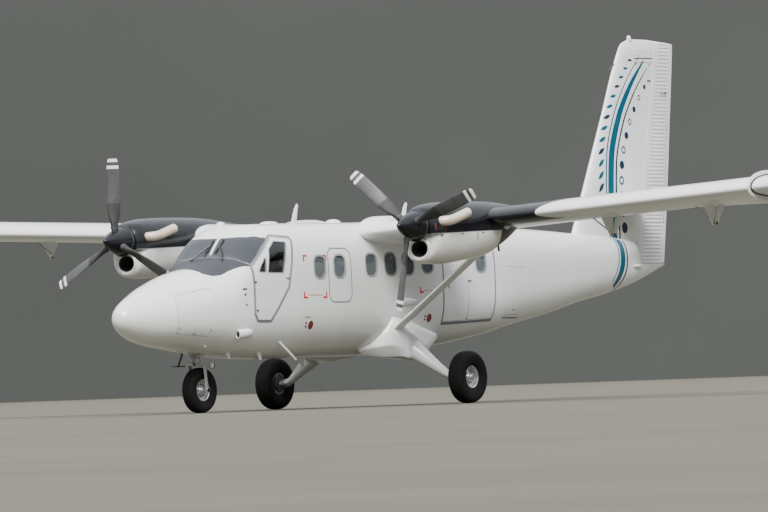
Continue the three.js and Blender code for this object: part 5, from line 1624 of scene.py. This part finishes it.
def place_pad(source, name, x, s, z, lean, scale):
    """A copy of a pad, leaned back about the x axis and set down."""
    twin = copy_of(source, name)
    turn = Matrix.Rotation(math.radians(lean), 4, "X")
    move = Matrix.Translation((x * MM, (s - DATUM) * MM, z * MM))
    twin.data.transform(move @ turn @ Matrix.Diagonal((scale, 1, 1, 1)))
    return twin


def seat_frame(x, s, width, base):
    """Legs, side rails and back frame of one seat."""
    parts = []
    for dx in (-width * 0.32, width * 0.32):
        for s0, z0, s1, z1, wide, deep in SEAT_BARS:
            ends = [(x + dx, s + s0, base + z0), (x + dx, s + s1, base + z1)]
            parts.append(tube("tool", ends, wide, deep, 10))
    parts.append(soft_block(x - width * 0.36, x + width * 0.36, s + 30, s + 440, base + 228, base + 246, 7))
    return parts


def build_seats(fabric, metal):
    cushion = pad("pad_seat", *CUSHION)
    back = pad("pad_back", *BACKREST)
    columns = [[(x, SEAT_FIRST + SEAT_PITCH * k) for k in range(count)] for x, count in SEAT_PLACES]
    rows = [(f"crew_seat_{word}", [(side * CREW_SEAT[0], CREW_SEAT[1])], 1.0, 0)
            for word, side in SIDES.items()]
    rows += [("passenger_seats_left", columns[0], 1.0, RAIL_HEIGHT),
             ("passenger_seats_right", columns[1] + columns[2], 0.95, RAIL_HEIGHT)]
    for node_name, places, scale, rail in rows:
        base = FLOOR_Z + rail
        parts = []
        for k, (x, s) in enumerate(places):
            parts += seat_frame(x, s, 420 * scale, base)
            for source, tag, ds, dz, lean in ((cushion, "cushion", 232, 312, 3),
                                              (back, "backrest", 458, 640, 78)):
                piece = place_pad(source, f"{node_name}_{tag}_{k}", x, s + ds, base + dz, lean, scale)
                dress(piece, fabric, angle=60)
        if rail:
            parts += floor_rails(places)
        dress(gathered(f"{node_name}_frame", parts), metal, replaces=(node_name,))
    for source in (cushion, back):
        bpy.data.objects.remove(source)


def floor_rails(places):
    """Two rails under each column of seats."""
    end = max(s for _, s in places) + 520
    return [soft_block(x + dx - 14, x + dx + 14, SEAT_FIRST, end, FLOOR_Z + 1, FLOOR_Z + 38, 6)
            for x in sorted({x for x, _ in places}) for dx in (-130, 130)]


def build_cockpit(plastic, dial, metal):
    dress(soft_block(-640, 640, 2470, 2690, 2120, 2152, 14, "glare_hood"), plastic)
    middles = [(x, 0, z) for x in (-470, -340, -210, 210, 340, 470) for z in (1870, 2010)]
    for name, inner, outer, end, material in (("dial_rims", 42, 52, 2692, metal),
                                              ("dial_faces", 0, 42, 2684, dial)):
        section = [(inner, 2679), (outer, 2679), (outer, end), (inner, end)]
        dress(gathered(name, [turned("tool", section, middle, "s", 24) for middle in middles]), material)
    levers = [tube("tool", [(x, 2760, 1765), (x, 2700 + 12 * k, 1900)], 9, sides=10)
              for k, x in enumerate((-75, -45, -15, 15, 45, 75))]
    dress(gathered("power_levers", levers), metal)


# Materials
def node(tree, kind, inputs=None, **settings):
    made = tree.nodes.new(kind)
    for key, value in settings.items():
        setattr(made, key, value)
    for key, value in (inputs or {}).items():
        if isinstance(value, bpy.types.NodeSocket):
            tree.links.new(value, made.inputs[key])
        else:
            made.inputs[key].default_value = value
    return made


def maths(tree, operation, first, second=0.0):
    return node(tree, "ShaderNodeMath", {0: first, 1: second}, operation=operation).outputs[0]


def ramp(tree, value, low, high, start=0.0, end=1.0, **settings):
    """Turns the range from low to high into the one from start to end."""
    inputs = {"Value": value, "From Min": low, "From Max": high, "To Min": start, "To Max": end}
    return node(tree, "ShaderNodeMapRange", inputs, **settings).outputs["Result"]


def mixed(tree, factor, first, second):
    inputs = {"Factor": factor, "A": first, "B": second}
    return node(tree, "ShaderNodeMix", inputs, data_type="RGBA").outputs["Result"]


def noise(tree, place, scale, detail):
    inputs = {"Vector": place, "Scale": scale, "Detail": detail}
    return node(tree, "ShaderNodeTexNoise", inputs).outputs["Fac"]


def bumped(tree, height, strength, distance, **inputs):
    inputs |= {"Height": height, "Strength": strength, "Distance": distance}
    return node(tree, "ShaderNodeBump", inputs).outputs["Normal"]


def axes_of(tree, place):
    return node(tree, "ShaderNodeSeparateXYZ", {"Vector": place}).outputs


TONE_RANGE = (0.35, 0.75)     # of the noise, from the first tone to the second
GLOSS_RANGE = (0.85, 1.25)    # of the roughness
FINE_SCALE = 30               # fine bumps to a cloud


def surface(name, slot, colour, second, amount, roughness, scale=6.0, bump=0.1, stretch=(1, 1, 1),
            detail=None, **values):
    """A finish of two tones mixed by noise, with uneven roughness, a fine bump and an optional relief."""
    material = bpy.data.materials.new(name)
    material.use_nodes = True
    tree = material.node_tree
    shader = tree.nodes["Principled BSDF"]
    place = node(tree, "ShaderNodeTexCoord").outputs["Object"]
    stretched = node(tree, "ShaderNodeMapping", {"Vector": place, "Scale": stretch}).outputs["Vector"]
    cloud = noise(tree, stretched, scale, 6.0)
    tone = mixed(tree, ramp(tree, cloud, *TONE_RANGE, 0.0, amount), (*colour, 1), (*second, 1))
    relief = bumped(tree, noise(tree, place, scale * FINE_SCALE, 3.0), bump, 0.001)
    if detail:
        tone, relief = detail(tree, place, tone, relief)
    gloss = ramp(tree, cloud, 0.0, 1.0, *(roughness * part for part in GLOSS_RANGE))
    for key, socket in (("Base Color", tone), ("Roughness", gloss), ("Normal", relief)):
        tree.links.new(socket, shader.inputs[key])
    for key, value in values.items():
        shader.inputs[key.replace("_", " ")].default_value = value
    return material


SEAM_WIDTH = 0.004            # metres, as the values below
SEAM_SHADE = 0.16
RIVET_SETBACK = 0.018
RIVET_PITCH = 0.032
BEAD_FRONT = (0.235, 6.02)    # lean of the ends, and their place at the ground
BEAD_REAR = (0.138, 6.94)


def near(tree, value, pitch, width):
    """1 close to each multiple of the pitch, falling to 0 over the width."""
    return ramp(tree, maths(tree, "PINGPONG", value, pitch / 2), width * 0.4, width, 1.0, 0.0)


def seams(first_axis, first_pitch, second_axis, second_pitch):
    """Panel seams across two axes, with a row of rivets beside each."""
    def detail(tree, place, tone, relief):
        axes = axes_of(tree, place)
        lines, rivets = [], []
        for axis, pitch, other in ((first_axis, first_pitch, second_axis),
                                   (second_axis, second_pitch, first_axis)):
            lines.append(near(tree, axes[axis], pitch, SEAM_WIDTH))
            wave = maths(tree, "PINGPONG", axes[axis], pitch / 2)
            beside = maths(tree, "ABSOLUTE", maths(tree, "SUBTRACT", wave, RIVET_SETBACK))
            row = maths(tree, "LESS_THAN", beside, 0.0035)
            rivets.append(maths(tree, "MULTIPLY", row, near(tree, axes[other], RIVET_PITCH, 0.0045)))
        line = maths(tree, "MAXIMUM", *lines)
        darker = mixed(tree, maths(tree, "MULTIPLY", line, SEAM_SHADE), tone, (0.1, 0.1, 0.1, 1))
        raised = maths(tree, "MULTIPLY", maths(tree, "MAXIMUM", *rivets), 0.6)
        return darker, bumped(tree, maths(tree, "SUBTRACT", raised, line), 0.6, 0.0012, Normal=relief)
    return detail


def beads(pitch):
    """Rounded stiffening beads pressed into the skin, one above another, with painted shade darkening each
    groove.
    """
    def detail(tree, place, tone, relief):
        axes = axes_of(tree, place)
        y, z = axes["Y"], axes["Z"]
        front, rear = (maths(tree, "ADD", maths(tree, "MULTIPLY", z, lean), foot)
                       for lean, foot in (BEAD_FRONT, BEAD_REAR))
        ahead, behind = maths(tree, "SUBTRACT", y, front), maths(tree, "SUBTRACT", rear, y)
        inside = ramp(tree, maths(tree, "MINIMUM", ahead, behind), 0.0, 0.02)
        shape = ramp(tree, maths(tree, "PINGPONG", z, pitch / 2), pitch * 0.12, pitch * 0.38,
                     interpolation_type="SMOOTHSTEP")
        groove = maths(tree, "MULTIPLY", maths(tree, "SUBTRACT", 1.0, shape), inside)
        # painted shade: each groove between the beads is darkened towards grey
        toned = mixed(tree, maths(tree, "MULTIPLY", groove, 0.09), tone, (0.2, 0.2, 0.2, 1))
        return toned, bumped(tree, groove, 1.0, -0.006, Normal=relief)
    return detail


def weave(pitch):
    """Threads that cross, for seat cloth and carpet."""
    def detail(tree, place, tone, relief):
        axes = axes_of(tree, place)
        across = near(tree, axes["X"], pitch, pitch * 0.5)
        along = near(tree, maths(tree, "ADD", axes["Y"], axes["Z"]), pitch, pitch * 0.5)
        thread = maths(tree, "MAXIMUM", across, along)
        toned = mixed(tree, maths(tree, "MULTIPLY", thread, 0.35), tone, (0.16, 0.2, 0.28, 1))
        return toned, bumped(tree, thread, 0.5, 0.0008, Normal=relief)
    return detail


def pleats(pitch):
    """Fine upright folds of a blind."""
    def detail(tree, place, tone, relief):
        fold = near(tree, axes_of(tree, place)["Y"], pitch, pitch * 0.5)
        return tone, bumped(tree, fold, 0.6, 0.003, Normal=relief)
    return detail


def see_through(name, slot, colour, roughness, clear):
    """Clear glass or acrylic with faint smears."""
    return surface(name, slot, colour, tuple(0.93 * c for c in colour), 0.5, roughness, 2.0, 0.01,
                   Transmission_Weight=clear, IOR=1.46)


# The ground and a ring of wall far behind, in metres
FLOOR_REACH = 3000.0
WALL_REACH = 420.0
WALL_HEIGHT = 110.0
WALL_SIDES = 48
SKY_COLOUR = (0.90, 0.95, 1.0, 1)
SKY_STRENGTH = (0.7, 2.15)    # at the horizon, and from the height below upward
SKY_HEIGHT = 0.8
SUN_COLOUR = (1.0, 0.97, 0.92)
SUN_ENERGY = 5.8
SUN_WIDTH = 30                # degrees, as its turn
SUN_TURN = (42, 0, 35)


def stage_mesh(name, places, faces, material):
    mesh = bpy.data.meshes.new(name)
    mesh.from_pydata(places, [], faces)
    obj = bpy.data.objects.new(name, mesh)
    bpy.context.scene.collection.objects.link(obj)
    obj.data.materials.append(material)


def build_stage():
    ground = surface("stage_ground", "white_paint", (0.105, 0.098, 0.072), (0.08, 0.074, 0.055), 0.6, 0.9,
                     0.4, 0.0)
    floor = [(x * FLOOR_REACH, y * FLOOR_REACH, 0) for x, y in ((-1, -1), (1, -1), (1, 1), (-1, 1))]
    stage_mesh("stage_floor", floor, [(0, 1, 2, 3)], ground)
    wall = surface("stage_wall", "white_paint", (0.058, 0.062, 0.060), (0.044, 0.048, 0.046), 0.6, 0.95,
                   0.02, 0.0)
    corners = disc(0, 0, WALL_REACH, WALL_SIDES)
    places = [(x, y, z) for z in (-1, WALL_HEIGHT) for x, y in corners]
    faces = [(k, (k + 1) % WALL_SIDES, WALL_SIDES + (k + 1) % WALL_SIDES, WALL_SIDES + k)
             for k in range(WALL_SIDES)]
    stage_mesh("stage_wall", places, faces, wall)


def build_light():
    """A pale sky, brighter overhead, and a soft sun."""
    world = bpy.data.worlds.new("studio")
    bpy.context.scene.world = world
    world.use_nodes = True
    tree = world.node_tree
    background = tree.nodes["Background"]
    height = axes_of(tree, node(tree, "ShaderNodeTexCoord").outputs["Generated"])["Z"]
    strength = ramp(tree, height, 0.0, SKY_HEIGHT, *SKY_STRENGTH)
    tree.links.new(strength, background.inputs["Strength"])
    background.inputs["Color"].default_value = SKY_COLOUR
    sun = bpy.data.lights.new("key", "SUN")
    sun.energy = SUN_ENERGY
    sun.angle = math.radians(SUN_WIDTH)
    sun.color = SUN_COLOUR
    lamp = bpy.data.objects.new("key", sun)
    lamp.rotation_euler = [math.radians(angle) for angle in SUN_TURN]
    bpy.context.scene.collection.objects.link(lamp)


build_camera()
build_stage()
build_light()
PAINT = ((0.80, 0.81, 0.82), (0.72, 0.72, 0.71), 0.5, 0.24)
WHITE = surface("gloss_white", "white_paint", *PAINT, 1.5, 0.02, (1, 1, 0.4), seams("Y", 0.78, "Z", 0.46),
                Coat_Weight=0.5)
WING_WHITE = surface("wing_white", "white_paint", *PAINT, 1.2, 0.02, (1, 0.4, 1), seams("X", 0.62, "Y", 0.66),
                     Coat_Weight=0.4)
TAIL_WHITE = surface("tail_white", "white_paint", *PAINT, 1.2, 0.02, (1, 1, 1), seams("Z", 0.60, "Y", 0.71),
                     Coat_Weight=0.4)
# white for the rudder, with painted shade in the grooves between its beads
BEADED_WHITE_SHADED_GROOVES = surface("beaded_white_shaded_grooves", "white_paint", *PAINT, 1.2, 0.02, (1, 1, 1), beads(0.063),
                       Coat_Weight=0.3)
PLAIN_WHITE = surface("plain_white", "white_paint", *PAINT, 3.0, 0.02, (1, 1, 0.5), Coat_Weight=0.5)
COWL_WHITE = surface("cowl_white", "white_paint", (0.80, 0.79, 0.77), (0.62, 0.60, 0.57), 0.6, 0.25, 2.2,
                     0.02,
                     (1, 0.3, 1), seams("Y", 0.9, "X", 4.0), Coat_Weight=0.5)
BLACK = surface("gloss_black", "black_paint", (0.006, 0.007, 0.010), (0.014, 0.014, 0.017), 0.6, 0.2, 2.0,
                0.02,
                (1, 1, 1), seams("Y", 0.85, "Z", 3.0), Specular_IOR_Level=0.32)
PLAIN_BLACK = surface("plain_black", "black_paint", (0.011, 0.011, 0.013), (0.025, 0.025, 0.027), 0.6, 0.3,
                      5.0, 0.03)
DULL = surface("dull_blue_grey", "black_paint", (0.020, 0.022, 0.031), (0.032, 0.034, 0.043), 0.6, 0.5, 5.0,
               0.06)
DARK = surface("dark_fitting", "dark_plastic", (0.035, 0.036, 0.04), (0.08, 0.08, 0.085), 0.6, 0.5, 12.0, 0.1)
GLASS = see_through("cabin_glass", "window_glass", (0.50, 0.55, 0.60), 0.03, 0.88)
SCREEN = see_through("screen_glass", "window_glass", (0.15, 0.165, 0.20), 0.03, 0.78)
CLEAR = see_through("side_glass", "window_glass", (0.42, 0.44, 0.44), 0.02, 1.0)
GREY = surface("grey_frame", "dark_plastic", (0.30, 0.31, 0.33), (0.22, 0.23, 0.25), 0.5, 0.5, 20.0, 0.1)
SEAL = surface("seal_rubber", "dark_plastic", (0.17, 0.175, 0.20), (0.13, 0.13, 0.14), 0.5, 0.6, 24.0, 0.15)
FAINT = surface("faint_seal", "dark_plastic", (0.66, 0.66, 0.66), (0.60, 0.60, 0.60), 0.5, 0.6, 24.0, 0.1)
RUBBER = surface("tyre_rubber", "tyre_rubber", (0.006, 0.006, 0.007), (0.019, 0.018, 0.016), 0.5, 0.75,
                 14.0, 0.5,
                 Specular_IOR_Level=0.2)
HOSE = surface("hose_rubber", "tyre_rubber", (0.02, 0.02, 0.02), (0.05, 0.05, 0.05), 0.5, 0.6, 40.0, 0.3)
ALLOY = surface("rim_alloy", "rim_metal", (0.60, 0.61, 0.62), (0.38, 0.38, 0.38), 0.5, 0.34, 20.0, 0.1,
                Metallic=0.85)
GEAR = surface("gear_steel", "gear_metal", (0.52, 0.53, 0.54), (0.30, 0.29, 0.28), 0.6, 0.38, 18.0, 0.12,
               Metallic=0.7)
CHROME = surface("bright_steel", "gear_metal", (0.72, 0.73, 0.74), (0.55, 0.55, 0.55), 0.5, 0.2, 30.0, 0.05,
                 Metallic=1.0)
STEEL = surface("exhaust_cream", "exhaust_metal", (0.72, 0.62, 0.50), (0.46, 0.36, 0.28), 0.7, 0.42, 7.0, 0.1,
                (1, 0.6, 1), Metallic=0.35)
BLADE_GREY = surface("blade_dark", "propeller_paint", (0.05, 0.051, 0.055), (0.10, 0.10, 0.10), 0.5, 0.4,
                     8.0, 0.1)
BAND_WHITE = surface("blade_band", "propeller_paint", (0.80, 0.80, 0.78), (0.65, 0.65, 0.62), 0.5, 0.4,
                     12.0, 0.05)
TEAL = surface("teal_paint", "white_paint", (0.0, 0.082, 0.135), (0.0, 0.10, 0.16), 0.5, 0.35, 3.0, 0.02,
               Specular_IOR_Level=0.3)
NAVY = surface("navy_paint", "white_paint", (0.008, 0.022, 0.055), (0.012, 0.03, 0.07), 0.5, 0.35, 3.0, 0.02,
               Specular_IOR_Level=0.3)
RED = surface("red_paint", "white_paint", (0.52, 0.02, 0.03), (0.42, 0.02, 0.03), 0.5, 0.4, 10.0, 0.02)
MAROON = surface("maroon_paint", "white_paint", (0.20, 0.02, 0.025), (0.12, 0.02, 0.02), 0.5, 0.4, 14.0, 0.05)
RED_LENS = surface("red_lens", "window_glass", (0.6, 0.02, 0.02), (0.45, 0.02, 0.02), 0.5, 0.12, 9.0, 0.02,
                   Coat_Weight=1.0)
GREEN_LENS = surface("green_lens", "window_glass", (0.02, 0.35, 0.12), (0.02, 0.26, 0.1), 0.5, 0.12, 9.0,
                     0.02,
                     Coat_Weight=1.0)
LENS = surface("clear_lens", "window_glass", (0.75, 0.76, 0.76), (0.6, 0.61, 0.62), 0.5, 0.08, 9.0, 0.02,
               Coat_Weight=1.0)
LINING = surface("cabin_lining", "seat_fabric", (0.40, 0.40, 0.38), (0.33, 0.33, 0.31), 0.5, 0.7, 8.0, 0.1)
CARPET = surface("carpet", "seat_fabric", (0.06, 0.07, 0.10), (0.09, 0.10, 0.13), 0.6, 0.9, 30.0, 0.4,
                 detail=weave(0.008))
FABRIC = surface("seat_cloth", "seat_fabric", (0.05, 0.075, 0.14), (0.08, 0.11, 0.18), 0.5, 0.85, 12.0, 0.2,
                 detail=weave(0.004), Sheen_Weight=0.3)
BLIND = surface("blind_cloth", "seat_fabric", (0.62, 0.58, 0.50), (0.52, 0.49, 0.43), 0.5, 0.8, 10.0, 0.1,
                detail=pleats(0.03))
DIAL = surface("dial_face", "dark_plastic", (0.02, 0.02, 0.022), (0.10, 0.10, 0.10), 0.4, 0.3, 60.0, 0.05)
ENGINE = surface("engine_case", "engine_metal", (0.45, 0.44, 0.42), (0.26, 0.24, 0.22), 0.6, 0.45, 16.0, 0.2,
                 Metallic=0.8)

skin = fuselage_solid(NOSE_STATION, TAIL_STATION, 0.2, name="skin_tool")
build_fuselage(WHITE, LINING, CARPET)
build_doors(WHITE, LINING, GEAR, GREY)
build_seals(SEAL, FAINT)
build_glass(GLASS, SCREEN, CLEAR, GREY, SEAL, BLIND)
build_nose_details(DULL, PLAIN_BLACK, DARK, PLAIN_WHITE, GEAR, LENS)
build_roof_details(PLAIN_WHITE)
build_marks(RED, MAROON, DARK, FAINT, PLAIN_WHITE)
whole_wing = build_wings(WING_WHITE, skin, BLACK, PLAIN_WHITE, GEAR, RED_LENS, GREEN_LENS, LENS, HOSE)
build_nacelles(BLACK, COWL_WHITE, STEEL, DARK, MAROON, SEAL, whole_wing)
build_propellers(BLACK, BLADE_GREY, BAND_WHITE, DARK, HOSE)
build_tail(TAIL_WHITE, BEADED_WHITE_SHADED_GROOVES, skin, DARK, SEAL, PLAIN_WHITE, LENS)
build_design({"teal": TEAL, "navy": NAVY}, skin)
build_gear(PLAIN_WHITE, skin, GEAR, RUBBER, ALLOY, DARK, LENS, CHROME)
build_seats(FABRIC, GEAR)
build_cockpit(DARK, DIAL, GEAR)
for tool in (skin, whole_wing):
    bpy.data.objects.remove(tool)

CARRIED = {"engine_left": ENGINE, "engine_right": ENGINE, "instrument_panel": DARK, "control_column": DARK}
for name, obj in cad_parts.items():
    if not obj.hide_render:
        obj.data.materials.clear()
        obj.data.materials.append(CARRIED[name])
